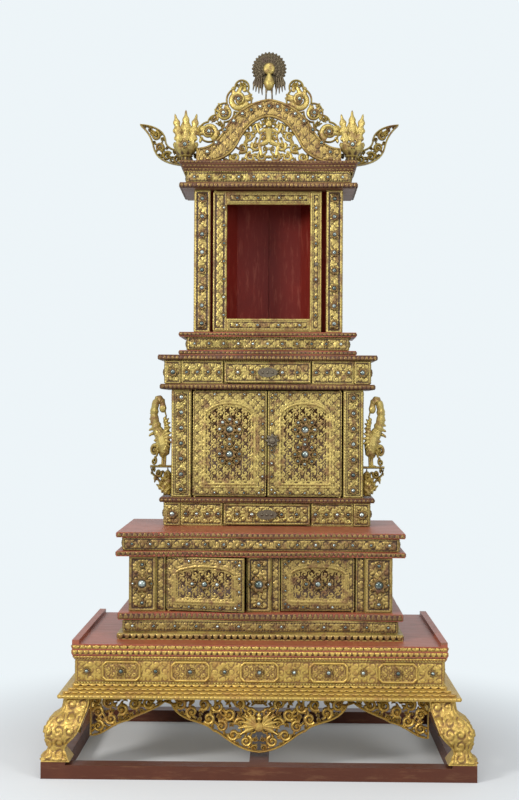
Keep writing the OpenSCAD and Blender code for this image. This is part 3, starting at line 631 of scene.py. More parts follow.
# %% Carve the table
# Each row of the flared moulding: where it starts, how tall it is and how far it stands out.
FLARE_ROWS = ((0.0, 0.014, 1.0), (0.014, 0.010, 0.7), (0.024, 0.009, 0.4), (0.033, 0.014, 0.15))
table_skin = Carving()
board_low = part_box("base_bottom_board")[0]
frieze_low, frieze_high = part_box("base_frieze")
flare = frieze_low.x - board_low.x
for start, tall, share in FLARE_ROWS:
    spread = Vector((flare * share, flare * share, 0))
    z0 = board_low.z + start
    leaf_row, depth = (petals(0.030, upside_down=True), 0.005) if start else (beads(0.016), 0.004)
    carve_sides(table_skin, frieze_low - spread, frieze_high + spread, z0, z0 + tall, leaf_row, depth, 0.0042)
band(table_skin, "base_frieze", bordered(vine(0.031), 0.006), 0.005, step=0.0042)
band(table_skin, "table_top", beads(0.0125), 0.006, 0.0, 0.22, step=0.0030, inset=0.006)
band(table_skin, "table_top", petals(0.021, upside_down=True), 0.005, 0.24, 0.62, step=0.0042)
band(table_skin, "table_top", petals(0.026), 0.003, 0.63, 0.97, step=0.0046)
table_piece = table_skin.piece("table_gilding", "shrine", bright_carving, "gilding")
print("table gilding", len(table_piece.data.polygons), "faces")

# %% Clipped frames on the front and ends of the table
def clipped_frame(width, height, corner, rail):
    """A frame with clipped corners that stands out of the frieze, with foliage in it."""
    def pattern(u, v, w, h):
        x = np.abs(u - w / 2)
        y = np.abs(v - h / 2)
        clipped = (width / 2 + height / 2 - corner - x - y) * 0.7
        inside = np.minimum(np.minimum(width / 2 - x, height / 2 - y), clipped)
        foliage = vine(0.019)(u, v, w, h) * 0.62
        rim = np.clip(1 - np.abs(inside - rail / 2) / (rail / 2), 0, 1) ** 0.4
        filled = np.where(inside < rail + 0.004, 0.02, foliage)
        return np.where(inside < 0, 0.0, np.where(inside < rail, rim, filled))
    return pattern


FRAME_PITCH, FRAME_WIDTH, FRAME_PROUD = 0.259, 0.156, 0.003


def table_frames():
    """Five frames along the front, and three on each end."""
    frames = Carving()
    tall = frieze_high.z - frieze_low.z
    height = tall * 0.88
    z0 = frieze_low.z + tall * 0.06
    half = FRAME_WIDTH / 2
    pattern = clipped_frame(FRAME_WIDTH - 0.006, height - 0.004, 0.016, 0.010)
    for n in range(-2, 3):
        corner = (n * FRAME_PITCH - half, frieze_low.y - FRAME_PROUD, z0)
        carve(frames, on_plane(corner, (1, 0, 0), (0, 0, 1)), FRAME_WIDTH, height, pattern, 0.009, 0.003)
    middle = (frieze_low.y + frieze_high.y) / 2
    for n in (-1, 0, 1):
        y = middle + n * FRAME_PITCH * 0.9
        for x, sign in ((frieze_high.x + FRAME_PROUD, 1), (frieze_low.x - FRAME_PROUD, -1)):
            place = on_plane((x, y - sign * half, z0), (0, sign, 0), (0, 0, 1))
            carve(frames, place, FRAME_WIDTH, height, pattern, 0.009, 0.0036)
    return frames.piece("table_frames", "shrine", bright_carving, "gilding")


print("table frames", len(table_frames().data.polygons), "faces")

# %% [markdown]
# ## Lower cabinet skins
# The gilding above the table is older and duller. Serpentine boards get a leaf edge, the friezes a vine
# between rims, and each pilaster its own bordered panel.

# %% Carve the fixed parts of the lower cabinet
serpentine_edges = Carving()
lower_skin = Carving()
plinth_low, plinth_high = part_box("lower_plinth")
band(lower_skin, "lower_plinth", petals(0.024, upside_down=True), 0.005, 0.0, 0.31)
neck_low, neck_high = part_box("lower_frieze")
carve_sides(lower_skin, Vector((neck_low.x + 0.004, plinth_low.y + 0.019, 0)),
            Vector((neck_high.x - 0.004, plinth_high.y, 0)), plinth_low.z + 0.026, plinth_high.z - 0.002,
            bordered(vine(0.022), 0.006), 0.005, 0.004, level=bowed(0.008))
wavy_band(serpentine_edges, "lower_floor", petals(0.020), 0.004)
wavy_band(serpentine_edges, "lower_top_board", petals(0.018, upside_down=True), 0.004)
wavy_band(serpentine_edges, "lower_shelf", petals(0.020), 0.0035)
band(lower_skin, "lower_frieze", bordered(vine(0.026), 0.008), 0.006, level=bowed(0.010))
print("lower bands carved")

# %% Pilasters of the lower cabinet and its ends
OUTER_PILASTER, CENTRE_PILASTER, JAMB = 0.104, 0.092, 0.035
CENTRE_PILASTER_X = -0.052
JAMB_SETBACK = 0.012
cab_low, cab_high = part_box("lower_pilasters")
pilasters = [(cab_low.x, OUTER_PILASTER), (CENTRE_PILASTER_X, CENTRE_PILASTER),
             (cab_high.x - OUTER_PILASTER, OUTER_PILASTER)]
for left, width in pilasters:
    panel_on(lower_skin, left, left + width, cab_low.y, cab_low.z, cab_high.z,
             bordered(vine(0.030), 0.012), 0.007)
for left in (cab_low.x + OUTER_PILASTER, CENTRE_PILASTER_X + CENTRE_PILASTER,
             cab_high.x - OUTER_PILASTER - JAMB):
    panel_on(lower_skin, left, left + JAMB, cab_low.y + JAMB_SETBACK, cab_low.z, cab_high.z,
             bordered(vine(0.02), 0.005), 0.005)
side_low, side_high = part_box("lower_sides")
carve_sides(lower_skin, side_low, side_high, cab_low.z, cab_high.z, bordered(vine(0.055), 0.020), 0.005,
            0.0055, ENDS)
lower_piece = lower_skin.piece("lower_cabinet_gilding", "shrine", sooty_carving, "aged_gilding")
serpentine_edges.piece("serpentine_edges", "shrine", edge_carving, "red_lacquer")
print("lower cabinet gilding", len(lower_piece.data.polygons), "faces")

# %% [markdown]
# ## The drawer tiers and the middle cabinet
# Both drawer tiers have the same face: a block at each corner, a lower panel beside it and the drawer in the
# middle. The doors have a carved frame round a sunk, arched field. Each door's skin rides on its own body.

# %% Drawer tier skins
CORNER_BLOCK = 0.066


def tier_skin(tier):
    """Carves one drawer tier: the fixed faces, and the drawer front as a piece that rides on the drawer."""
    case_low, case_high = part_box(tier + "_drawer_case")
    drawer_low, drawer_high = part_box(tier + "_drawer")
    fixed = Carving()
    field = bordered(vine(0.026), 0.008)
    for x0, x1, lift in ((case_low.x, case_low.x + CORNER_BLOCK, 0.007),
                         (case_low.x + CORNER_BLOCK, drawer_low.x - 0.005, 0.0),
                         (drawer_high.x + 0.005, case_high.x - CORNER_BLOCK, 0.0),
                         (case_high.x - CORNER_BLOCK, case_high.x, 0.007)):
        panel_on(fixed, x0, x1, case_low.y, case_low.z, case_high.z, field, 0.006,
                 lambda u, v, w, h, lift=lift: lift)
    carve_ends(fixed, tier + "_drawer_case", field, 0.0048)
    fixed.piece(tier + "_tier_face", "shrine", old_carving, "gilding")
    front = Carving()
    panel_on(front, drawer_low.x, drawer_high.x, drawer_low.y, drawer_low.z, drawer_high.z,
             bordered(vine(0.028), 0.009), 0.006, bowed(0.003))
    front.piece(tier + "_tier_drawer_face", tier + "_drawer", old_carving, "gilding")


for tier in ("lower", "upper"):
    tier_skin(tier)
print("drawer tiers carved")

# %% Edges of the boards, and the skins of the middle cabinet
edges = Carving()
for node, upside_down in (("middle_floor", False), ("middle_top_board", True), ("upper_board", False),
                          ("niche_foot_board", False), ("niche_floor", True), ("cornice_moulding", True)):
    band(edges, node, petals(0.017, upside_down), 0.0035, level=bowed(0.005), z_from=0.05, z_to=0.95)
for step in range(3):
    share = step / 3
    band(edges, "cornice_top", petals(0.015, upside_down=True), 0.003, share + 0.03, share + 0.30,
         level=bowed(0.004), inset=0.014 - 0.007 * step)
edges.piece("board_edges", "shrine", edge_carving, "aged_gilding")

MIDDLE_PILASTER = 0.080
middle = Carving()
end_pilasters(middle, "middle_pilasters", MIDDLE_PILASTER, bordered(bordered(vine(0.027), 0.006), 0.011))
carve_ends(middle, "middle_sides", bordered(vine(0.060), 0.022), 0.0058)
middle.piece("middle_cabinet_gilding", "shrine", old_carving, "gilding")
print("edges and middle cabinet carved")

# %% Doors with a sunk, arched field
DOOR_SINK = 0.0055


def door_pattern(border, arch):
    """Foliage on the frame, a bead round the arch and finer foliage in the field."""
    def inside(u, v, width, height):
        x = np.abs(u - width / 2)
        half = width / 2 - border
        top = height - border - arch + arch * np.sqrt(np.clip(1 - (x / half) ** 2, 0, 1))
        return np.minimum(np.minimum(half - x, v - border), top - v)

    def pattern(u, v, width, height):
        deep = inside(u, v, width, height)
        frame_part = bordered(vine(0.021), 0.007)(u, v, width, height) * 0.85
        field = vine(0.026)(u, v, width, height) * 0.8
        line = (np.abs(deep) < 0.0040) | (np.abs(deep + 0.0115) < 0.0018) | (np.abs(deep - 0.0105) < 0.0016)
        return np.where(line, 1.0, np.where(deep < 0, frame_part, field))

    def level(u, v, width, height):
        return np.where(inside(u, v, width, height) > 0.0045, -DOOR_SINK, 0.0)

    return pattern, level


def spun(x, y, pivot, angle):
    """Points turned about an upright pivot."""
    c, s = math.cos(angle), math.sin(angle)
    x, y = x - pivot[0], y - pivot[1]
    return pivot[0] + c * x - s * y, pivot[1] + s * x + c * y


def turned_about(place, pivot, angle):
    """The same placing rule, turned about an upright pivot."""
    def turned_place(u, v, d):
        points = place(u, v, d)
        return np.stack([*spun(points[..., 0], points[..., 1], pivot, angle), points[..., 2]], -1)

    return turned_place


PIVOT_PEG = 0.008
joints = {joint["child"]: joint for joint in frame["joints"]}


def shut_box(door):
    """A door's pivot, how far it stands open at rest, and its box when it is shut."""
    joint = joints[door]
    ajar = math.radians(-joint["range_deg"][0]) * -joint["axis"][2]
    pivot = joint["pos_m"]
    co = np.array([v.co for v in nodes[door].data.vertices])
    shut = np.stack([*spun(co[:, 0], co[:, 1], pivot, ajar), co[:, 2]], -1)
    near_end = PIVOT_PEG + 0.0005
    body = shut[(shut[:, 2] > co[:, 2].min() + near_end) | (shut[:, 2] < co[:, 2].max() - near_end)]
    peg = np.array([0, 0, PIVOT_PEG])
    return pivot, ajar, body.min(0) + peg, body.max(0) - peg


def door_skin(door, border, arch, finish):
    """Carves a door's face as a piece that rides on the door."""
    pivot, ajar, low, high = shut_box(door)
    width, height = high[0] - low[0], high[2] - low[2]
    skin = Carving()
    pattern, level = door_pattern(border, arch)
    place = turned_about(on_plane((low[0], low[1], low[2]), (1, 0, 0), (0, 0, 1)), pivot, -ajar)
    carve(skin, place, width, height, pattern, 0.0055, 0.0034, level)
    skin.piece(door + "_carving", door, finish, "gilding")
    return place, width, height, ajar


door_places = {}
for part, look in (("middle", (0.050, 0.060, old_carving)), ("lower", (0.034, 0.036, sooty_carving))):
    for hand in ("left", "right"):
        door = f"{part}_door_{hand}"
        door_places[door] = door_skin(door, *look)
print("doors", {name: (round(p[1], 4), round(p[2], 4)) for name, p in door_places.items()})

# %% [markdown]
# ## Niche and cornice
# The niche front is two bordered pilasters beside an open, glassless door frame. The plinth under it and
# the frieze over it bow forwards in the middle and at both ends.

# %% Niche skins
NICHE_PILASTER = 0.065
niche = Carving()
end_pilasters(niche, "niche_pilasters", NICHE_PILASTER, bordered(bordered(vine(0.024), 0.005), 0.009))
carve_ends(niche, "niche_sides", bordered(vine(0.060), 0.022), 0.0060)
band(niche, "niche_plinth", bordered(vine(0.025), 0.007), 0.006, level=bowed(0.014), step=0.0042)
band(niche, "cornice_frieze", bordered(vine(0.022), 0.006), 0.006, level=bowed(0.014), step=0.0042)
niche.piece("niche_gilding", "shrine", old_carving, "aged_gilding")

STILE_LEFT, STILE_RIGHT, RAIL = 0.057, 0.045, 0.052
frame_low, frame_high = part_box("niche_door")
frame_z0, frame_z1 = frame_low.z + PIVOT_PEG, frame_high.z - PIVOT_PEG
inner_x0, inner_x1 = frame_low.x + STILE_LEFT, frame_high.x - STILE_RIGHT
door_frame = Carving()
strips = [(frame_low.x, inner_x0, frame_z0, frame_z1), (inner_x1, frame_high.x, frame_z0, frame_z1),
          (inner_x0, inner_x1, frame_z0, frame_z0 + RAIL), (inner_x0, inner_x1, frame_z1 - RAIL, frame_z1)]
for x0, x1, z0, z1 in strips:
    panel_on(door_frame, x0, x1, frame_low.y, z0, z1, bordered(bordered(vine(0.019), 0.005), 0.008), 0.005)
door_frame.piece("niche_door_carving", "niche_door", old_carving, "aged_gilding")
print("niche carved")

# %% [markdown]
# ## Jewels set by Geometry Nodes
# Hundreds of small things are the same: glass domes in petal collars, beads and fringe teeth. A Geometry
# Nodes tree sets one motif on every point of a small point mesh, each with its own stored size and a small
# seeded twist. The result is turned into a plain mesh, and the modifier goes.

# %% The tree that sets a motif on points
def build_setting_tree():
    """Sets Motif on each point, scaled by the point's size, and gives it the finish."""
    tree = bpy.data.node_groups.new("set_on_points", "GeometryNodeTree")
    for label, kind in (("Points", "NodeSocketGeometry"), ("Motif", "NodeSocketObject"), ("Turn", VECTOR),
                        ("Twist", NUMBER), ("Seed", "NodeSocketInt"), ("Finish", "NodeSocketMaterial")):
        tree.interface.new_socket(label, in_out="INPUT", socket_type=kind)
    tree.interface.new_socket("Pieces", in_out="OUTPUT", socket_type="NodeSocketGeometry")
    taken = tree.nodes.new("NodeGroupInput").outputs
    given = tree.nodes.new("NodeGroupOutput")
    motif = tree.nodes.new("GeometryNodeObjectInfo")
    size = tree.nodes.new("GeometryNodeInputNamedAttribute")
    size.data_type = "FLOAT"
    size.inputs["Name"].default_value = "size"
    chance = tree.nodes.new("FunctionNodeRandomValue")
    chance.data_type = "FLOAT"
    chance.inputs[2].default_value = -1.0
    chance.inputs[3].default_value = 1.0
    spin = tree.nodes.new("ShaderNodeMath")
    spin.operation = "MULTIPLY"
    about = tree.nodes.new("ShaderNodeCombineXYZ")
    total = tree.nodes.new("ShaderNodeVectorMath")
    placed = tree.nodes.new("GeometryNodeInstanceOnPoints")
    solid = tree.nodes.new("GeometryNodeRealizeInstances")
    finish = tree.nodes.new("GeometryNodeSetMaterial")
    for source, target in (
            (taken["Motif"], motif.inputs["Object"]), (taken["Seed"], chance.inputs["Seed"]),
            (chance.outputs[1], spin.inputs[0]), (taken["Twist"], spin.inputs[1]),
            (spin.outputs[0], about.inputs["Y"]), (about.outputs[0], total.inputs[0]),
            (taken["Turn"], total.inputs[1]), (taken["Points"], placed.inputs["Points"]),
            (motif.outputs["Geometry"], placed.inputs["Instance"]),
            (total.outputs[0], placed.inputs["Rotation"]),
            (size.outputs["Attribute"], placed.inputs["Scale"]), (placed.outputs[0], solid.inputs[0]),
            (solid.outputs[0], finish.inputs["Geometry"]), (taken["Finish"], finish.inputs["Material"]),
            (finish.outputs[0], given.inputs[0])):
        tree.links.new(source, target)
    return tree


setting_tree = build_setting_tree()
socket_of = {item.name: item.identifier for item in setting_tree.interface.items_tree
             if item.in_out == "INPUT"}


def set_on_points(name, body, spots, motif, finish, turn=(0, 0, 0), twist=0.0, seed=7):
    """Makes one piece from a list of (point, size)."""
    mesh = bpy.data.meshes.new(name)
    mesh.from_pydata([tuple(point) for point, size in spots], [], [])
    sizes = mesh.attributes.new("size", "FLOAT", "POINT")
    sizes.data.foreach_set("value", [size for point, size in spots])
    made = in_scene(name, mesh)
    setter = made.modifiers.new("set_on_points", "NODES")
    setter.node_group = setting_tree
    for label, value in (("Motif", motif), ("Turn", turn), ("Twist", twist), ("Seed", seed),
                         ("Finish", finish)):
        setter[socket_of[label]] = value
    depsgraph = bpy.context.evaluated_depsgraph_get()
    plain = bpy.data.meshes.new_from_object(made.evaluated_get(depsgraph), depsgraph=depsgraph)
    made.modifiers.clear()
    made.data = plain
    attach(made, body)
    return made


def motif_object(name, points, faces, relief):
    """A small mesh, one unit across from its middle, that faces -Y."""
    return in_scene(name, relief_mesh(name, points, faces, relief))


def dome_points(radius, rise, sides, rings):
    """A closed dome that faces -Y, with a flat back."""
    points = []
    turns = [2 * math.pi * k / sides for k in range(sides)]
    for ring in range(rings):
        a = math.pi / 2 * ring / rings
        r = radius * math.cos(a)
        points += [(r * math.cos(t), -rise * math.sin(a), r * math.sin(t)) for t in turns]
    points.append((0, -rise, 0))
    faces = [tuple(range(sides))]
    for ring in range(rings - 1):
        a, b = ring * sides, (ring + 1) * sides
        faces += [(a + k, a + (k + 1) % sides, b + (k + 1) % sides, b + k) for k in range(sides)]
    last = (rings - 1) * sides
    faces += [(last + k, last + (k + 1) % sides, len(points) - 1) for k in range(sides)]
    return points, faces


def collar_points(petal_count):
    """A ring of short pointed petals round a jewel, as one closed star."""
    points, relief = [], []
    around = petal_count * 4
    # Each ring: radius, rise, wave of the petals and relief; the low relief at the rim paints shade round it.
    for radius, rise, wave, value in ((1.0, 0.0, 0.28, 0.1), (1.0, 0.22, 0.28, 0.5),
                                      (0.80, 0.62, 0.12, 1.0), (0.55, 0.34, 0.0, 0.4)):
        for k in range(around):
            t = 2 * math.pi * k / around
            r = radius * (1 + wave * math.cos(petal_count * t)) * 1.45
            points.append((r * math.cos(t), -rise, r * math.sin(t)))
            relief.append(value)
    faces = [tuple(range(around))]
    for ring in range(3):
        a, b = ring * around, (ring + 1) * around
        faces += [(a + k, a + (k + 1) % around, b + (k + 1) % around, b + k) for k in range(around)]
    faces.append(tuple(range(3 * around, 4 * around)))
    return points, faces, relief


dome = motif_object("dome_motif", *dome_points(1.0, 0.75, 10, 3), [1.0] * 31)
collar = motif_object("collar_motif", *collar_points(8))
print("setting tree and motifs ready")

# %% Where the jewels go
def along(start, end, count, size):
    """Evenly spaced spots on a line, half a pitch in from its ends."""
    start, end = Vector(start), Vector(end)
    return [(start.lerp(end, (k + 0.5) / count), size) for k in range(count)]


def jewel_set(name, body, spots, turn=(0, 0, 0)):
    """A set of glass domes and their petal collars on one body."""
    collars = [(p, s * 1.2) for p, s in spots]
    set_on_points(name + "_collars", body, collars, collar, edge_carving, turn, 0.5)
    out = Matrix.Rotation(turn[2], 3, "Z") @ Vector((0, -0.35, 0))
    domes = [(Vector(p) + out * s, s * 0.95) for p, s in spots]
    set_on_points(name, body, domes, dome, jewel_glass, turn)


def front_row(node, out, count, size):
    """Spots along the front of a node, half way up it."""
    low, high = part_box(node)
    z = (low.z + high.z) / 2
    return along((low.x, low.y - out, z), (high.x, low.y - out, z), count, size)


z = (frieze_low.z + frieze_high.z) / 2
fixed_spots = [(Vector((n * FRAME_PITCH, frieze_low.y - 0.010, z)), 0.0085) for n in range(-2, 3)]
fixed_spots += [(Vector(((n + 0.5) * FRAME_PITCH, frieze_low.y - 0.006, z)), 0.0075) for n in range(-3, 3)]
fixed_spots += front_row("lower_frieze", 0.011, 15, 0.0062)
y, z = plinth_low.y + 0.010, plinth_high.z - 0.025
fixed_spots += along((neck_low.x, y, z), (neck_high.x, y, z), 13, 0.0060)
y, z = cab_low.y - 0.007, (cab_low.z + cab_high.z) / 2
for left, width in pilasters:
    x = left + width / 2
    fixed_spots.append((Vector((x, y, z)), 0.0175))
    fixed_spots += [(Vector((x, y, z + dz)), 0.0075) for dz in (-0.074, 0.074)]
    fixed_spots += [(Vector((x + dx, y + 0.001, z)), 0.0045) for dx in (-0.036, 0.036)]
for tier in ("lower", "upper"):
    low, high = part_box(tier + "_drawer_case")
    drawer_low, drawer_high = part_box(tier + "_drawer")
    y, z = low.y - 0.006, (low.z + high.z) / 2
    for a, b in ((low.x + CORNER_BLOCK, drawer_low.x), (drawer_high.x, high.x - CORNER_BLOCK)):
        fixed_spots += along((a, y, z), (b, y, z), 4, 0.0072)
    for x in (low.x + CORNER_BLOCK / 2, high.x - CORNER_BLOCK / 2):
        fixed_spots.append((Vector((x, y - 0.006, z)), 0.0110))
for node, width, count in (("middle_pilasters", MIDDLE_PILASTER, 7), ("niche_pilasters", NICHE_PILASTER, 8)):
    low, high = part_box(node)
    y = low.y - 0.007
    for x in (low.x + width / 2, high.x - width / 2):
        fixed_spots += along((x, y, low.z), (x, y, high.z), count, 0.0095)
for node in ("niche_plinth", "cornice_frieze"):
    fixed_spots += front_row(node, 0.014, 11, 0.0065)
jewel_set("fixed_jewels", "shrine", fixed_spots)
print(len(fixed_spots), "fixed jewels")

# %% Jewels on the ends of the tiers, the doors, the drawers and the niche frame
# Each row on an end: node, how many, their size and how far out they stand.
END_ROWS = (("base_frieze", 5, 0.0080, 0.006), ("lower_frieze", 8, 0.0062, 0.005),
            ("lower_drawer_case", 4, 0.0072, 0.005), ("upper_drawer_case", 4, 0.0072, 0.005),
            ("niche_plinth", 4, 0.0065, 0.005), ("cornice_frieze", 4, 0.0065, 0.005))
for side, sign in (("right", 1), ("left", -1)):
    spots = []
    for node, count, size, out in END_ROWS:
        low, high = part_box(node)
        x = (high.x if sign > 0 else low.x) + sign * out
        z = (low.z + high.z) / 2
        spots += along((x, low.y, z), (x, high.y, z), count, size)
    jewel_set("end_jewels_" + side, "shrine", spots, (0, 0, sign * math.pi / 2))

# The large jewels of a door: shares of its width and height, and their size.
DOOR_JEWELS = {"middle": [(0.5, 0.635, 0.016), (0.5, 0.40, 0.016)],
               "lower": [(0.5, 0.5, 0.012), (0.34, 0.5, 0.008), (0.66, 0.5, 0.008)]}
SMALL_JEWEL, PROUD = 0.0052, 0.004
STILE_INSET, RAIL_INSET = 0.016, 0.014
ROSETTE_R, ROSETTE_FROM = 0.040, 0.0125
SWING_ROOM = 0.046  # jewels nearer than this to the hinge would meet the pilaster when the door opens
for door, (place, width, height, ajar) in door_places.items():
    marks = []
    for share_x, share_z, size in DOOR_JEWELS[door.split("_")[0]]:
        x, z = share_x * width, share_z * height
        marks.append((x, z, -DOOR_SINK + 0.005, size))
        if size > ROSETTE_FROM:
            marks += [(x + ROSETTE_R * math.cos(a), z + ROSETTE_R * math.sin(a), 0.0, 0.0075)
                      for a in (math.pi / 4 * k for k in range(8))]
    per_stile = max(3, round(height / 0.055))
    marks += [(x, height * (k + 0.5) / per_stile, PROUD, SMALL_JEWEL)
              for k in range(per_stile) for x in (STILE_INSET, width - STILE_INSET)]
    per_rail = max(3, round(width / 0.06))
    marks += [(width * (k + 0.5) / per_rail, z, PROUD, SMALL_JEWEL)
              for k in range(per_rail) for z in (RAIL_INSET, height - RAIL_INSET)]
    hinge_on_left = joints[door]["axis"][2] < 0
    clear = [mark for mark in marks if (mark[0] if hinge_on_left else width - mark[0]) > SWING_ROOM]
    table = np.array(clear)
    where = place(table[:, 0], table[:, 1], table[:, 2])
    spots = [(Vector(p), s) for p, s in zip(where.tolist(), table[:, 3].tolist())]
    jewel_set(door + "_jewels", door, spots, (0, 0, -ajar))
for drawer in ("lower_drawer", "upper_drawer"):
    low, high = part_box(drawer)
    x, y, z = (low.x + high.x) / 2, low.y - 0.007, (low.z + high.z) / 2
    spots = [(Vector((x + sign * 0.060 * k, y, z)), 0.0072) for sign in (-1, 1) for k in (1, 2)]
    jewel_set(drawer + "_jewels", drawer, spots)
knob_at = sum(map(Vector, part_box("niche_door_knob")), Vector()) / 2
y = frame_low.y - PROUD
spots = []
for x0, x1, z0, z1 in strips:
    x, z = (x0 + x1) / 2, (z0 + z1) / 2
    if x0 == frame_low.x:
        x = x0 + SWING_ROOM
    if z1 - z0 > x1 - x0:
        spots += along((x, y, z0 + 0.03), (x, y, z1 - 0.03), 7, 0.0058)
    else:
        spots += along((x0, y, z), (x1, y, z), 4, 0.0058)
jewel_set("niche_door_jewels", "niche_door", [(p, s) for p, s in spots if (p - knob_at).length > 0.05])
print("doors, drawers and ends have their jewels")

# %% [markdown]
# ## Openwork
# The aprons, the horns and the crest are pierced. Each one keeps the outline of its imported node, read from
# the rim of the node's front face. The outline is filled with circles, largest first, and each circle
# becomes a curling stem with a bud and leaves, which is how a carver fills a board.

# %% Strips, buds, stems and leaves
# The section of a strip: across, out of the face, and relief, whose low values at the edges paint shade
# there.
SECTION = np.array([(-1.0, 0.0, 0.2), (-1.0, 0.45, 0.45), (-0.55, 0.85, 0.9), (0.0, 1.0, 1.0),
                    (0.55, 0.85, 0.9), (1.0, 0.45, 0.45), (1.0, 0.0, 0.2)])


def rings_to_faces(count, sides):
    """Quads between rings of points, and a cap on each end."""
    index = np.arange(count * sides).reshape(count, sides)
    after = np.roll(index, -1, 1)
    quads = np.stack([index[:-1], index[1:], after[1:], after[:-1]], -1).reshape(-1, 4)
    return quads.tolist() + [index[0].tolist(), index[-1][::-1].tolist()]


def path_normals(path):
    """Unit normals to the left of a path."""
    ahead = np.gradient(path, axis=0)
    ahead /= np.maximum(np.linalg.norm(ahead, axis=1, keepdims=True), 1e-9)
    return np.stack([-ahead[:, 1], ahead[:, 0]], -1)


def ribbon(into, place, path, widths, depth, base=0.0):
    """A rounded strip along a path on a face, with half widths along it."""
    path = np.asarray(path, float)
    widths = np.broadcast_to(np.asarray(widths, float), len(path))
    flat = path[:, None] + path_normals(path)[:, None] * (widths[:, None] * SECTION[:, 0])[..., None]
    rise = depth * (0.35 + 0.65 * np.sqrt(widths / widths.max()))
    into.add(place(flat[..., 0], flat[..., 1], base + rise[:, None] * SECTION[:, 1]),
             rings_to_faces(*flat.shape[:2]), np.broadcast_to(SECTION[:, 2], flat.shape[:2]))


def tube(into, place, path, radii, flatten=1.0, sides=10):
    """A round limb along a path on a face."""
    path = np.asarray(path, float)
    radii = np.broadcast_to(np.asarray(radii, float), len(path))
    a = np.linspace(0, 2 * math.pi, sides, endpoint=False)
    flat = path[:, None] + path_normals(path)[:, None] * (radii[:, None] * np.cos(a))[..., None]
    # The relief falls towards the side that turns into the face, so that side is painted in shade.
    into.add(place(flat[..., 0], flat[..., 1], radii[:, None] * np.sin(a) * flatten),
             rings_to_faces(*flat.shape[:2]), np.broadcast_to(0.55 + 0.45 * np.sin(a), flat.shape[:2]))


def bud(into, place, centre, radius, rise, base=0.0, sides=10):
    """A round bud on a face."""
    # Each ring: share of the radius, share of the rise and relief; the low relief at the foot paints shade
    # there.
    rings = np.array([(1.0, 0.0, 0.1), (1.0, 0.5, 0.4), (0.72, 0.85, 0.8), (0.28, 1.0, 1.0)])
    a = np.linspace(0, 2 * math.pi, sides, endpoint=False)
    u = centre[0] + radius * rings[:, :1] * np.cos(a)
    v = centre[1] + radius * rings[:, :1] * np.sin(a)
    into.add(place(u, v, base + rise * np.broadcast_to(rings[:, 1:2], u.shape)),
             rings_to_faces(len(rings), sides), np.broadcast_to(rings[:, 2:], u.shape))


def scroll(into, place, centre, radius, angle, hand, depth, thick=0.2, turns=1.4, base=0.0):
    """A stem that curls in to a bud."""
    t = np.linspace(0, 1, int(20 * turns))
    r = radius * (1 - thick) * ((1 - t) ** 0.85 * 0.86 + 0.14)
    a = angle + hand * t * turns * 2 * math.pi
    path = np.stack([centre[0] + r * np.cos(a), centre[1] + r * np.sin(a)], -1)
    ribbon(into, place, path, radius * thick * (1 - 0.5 * t), depth, base)
    bud(into, place, centre, radius * 0.21, depth * 1.15, base)


def leaf(into, place, root, angle, length, width, depth, bend=0.0, lobes=3, base=0.0):
    """A pointed leaf with lobed edges that bends to one side."""
    t = np.linspace(0, 1, 6 + 4 * lobes)
    a = angle + bend * t
    steps = np.stack([np.cos(a), np.sin(a)], -1) * length / (len(t) - 1)
    path = np.asarray(root, float) + np.cumsum(steps, 0) - steps[0]
    lobe = 0.78 + 0.22 * np.cos(2 * math.pi * lobes * t)
    ribbon(into, place, path, width * (np.sin(math.pi * t ** 0.75) ** 0.8 * lobe + 0.06), depth, base)


print("openwork tools ready")

# %% Outlines and their filling
def outlines(node, axis, sign):
    """The large rims of a node's flat faces that look along an axis, as loops of points."""
    work = bmesh.new()
    work.from_mesh(nodes[node].data)
    bmesh.ops.remove_doubles(work, verts=work.verts, dist=2e-5)
    work.verts.ensure_lookup_table()
    work.verts.index_update()
    flat = {face for face in work.faces if face.normal[axis] * sign > 0.99}
    following = {}
    for face in flat:
        for loop in face.loops:
            if sum(other in flat for other in loop.edge.link_faces) == 1:
                following[loop.vert.index] = loop.link_loop_next.vert.index
    found = []
    while following:
        start = next(iter(following))
        chain = []
        while start in following:
            chain.append(tuple(work.verts[start].co))
            start = following.pop(start)
        found.append(np.array(chain))
    work.free()
    spans = [np.prod(np.sort(np.ptp(loop, axis=0))[1:]) for loop in found]
    return [loop for loop, span in zip(found, spans) if span > 0.2 * max(spans)]


def room_inside(points, loop):
    """How far each point lies inside a closed loop; less than zero outside it."""
    start = loop
    edge = np.roll(loop, -1, 0) - start
    offset = points[:, None] - start
    t = np.clip((offset * edge).sum(-1) / np.maximum((edge ** 2).sum(-1), 1e-12), 0, 1)
    far = np.linalg.norm(offset - t[..., None] * edge, axis=-1).min(1)
    up = start[:, 1] > points[:, 1:2]
    up_next = np.roll(start[:, 1], -1) > points[:, 1:2]
    x = start[:, 0] + offset[..., 1] * edge[:, 0] / np.where(np.abs(edge[:, 1]) < 1e-12, 1e-12, edge[:, 1])
    odd = ((up != up_next) & (points[:, :1] < x)).sum(1) % 2 == 1
    return np.where(odd, far, -far)


def fill_circles(loop, smallest, largest, mirror_at=None, step=0.004):
    """Packs circles inside a loop, each as large as fits."""
    low, high = loop.min(0), loop.max(0)
    spans = [np.arange(a, b, step) for a, b in zip(low, high)]
    grid = np.stack(np.meshgrid(*spans, indexing="ij"), -1).reshape(-1, 2)
    room = room_inside(grid, loop)
    if mirror_at is not None:
        room = np.minimum(room, mirror_at - grid[:, 0])
    circles = []
    while room.max() >= smallest:
        k = int(np.argmax(np.minimum(room, largest)))
        radius = float(min(room[k], largest))
        circles.append((float(grid[k, 0]), float(grid[k, 1]), radius))
        room = np.minimum(room, np.linalg.norm(grid - grid[k], axis=1) - radius)
    return circles


def flipped(place, at):
    """The same placing rule, mirrored across a line."""
    return lambda u, v, d: place(2 * at - u, v, d)


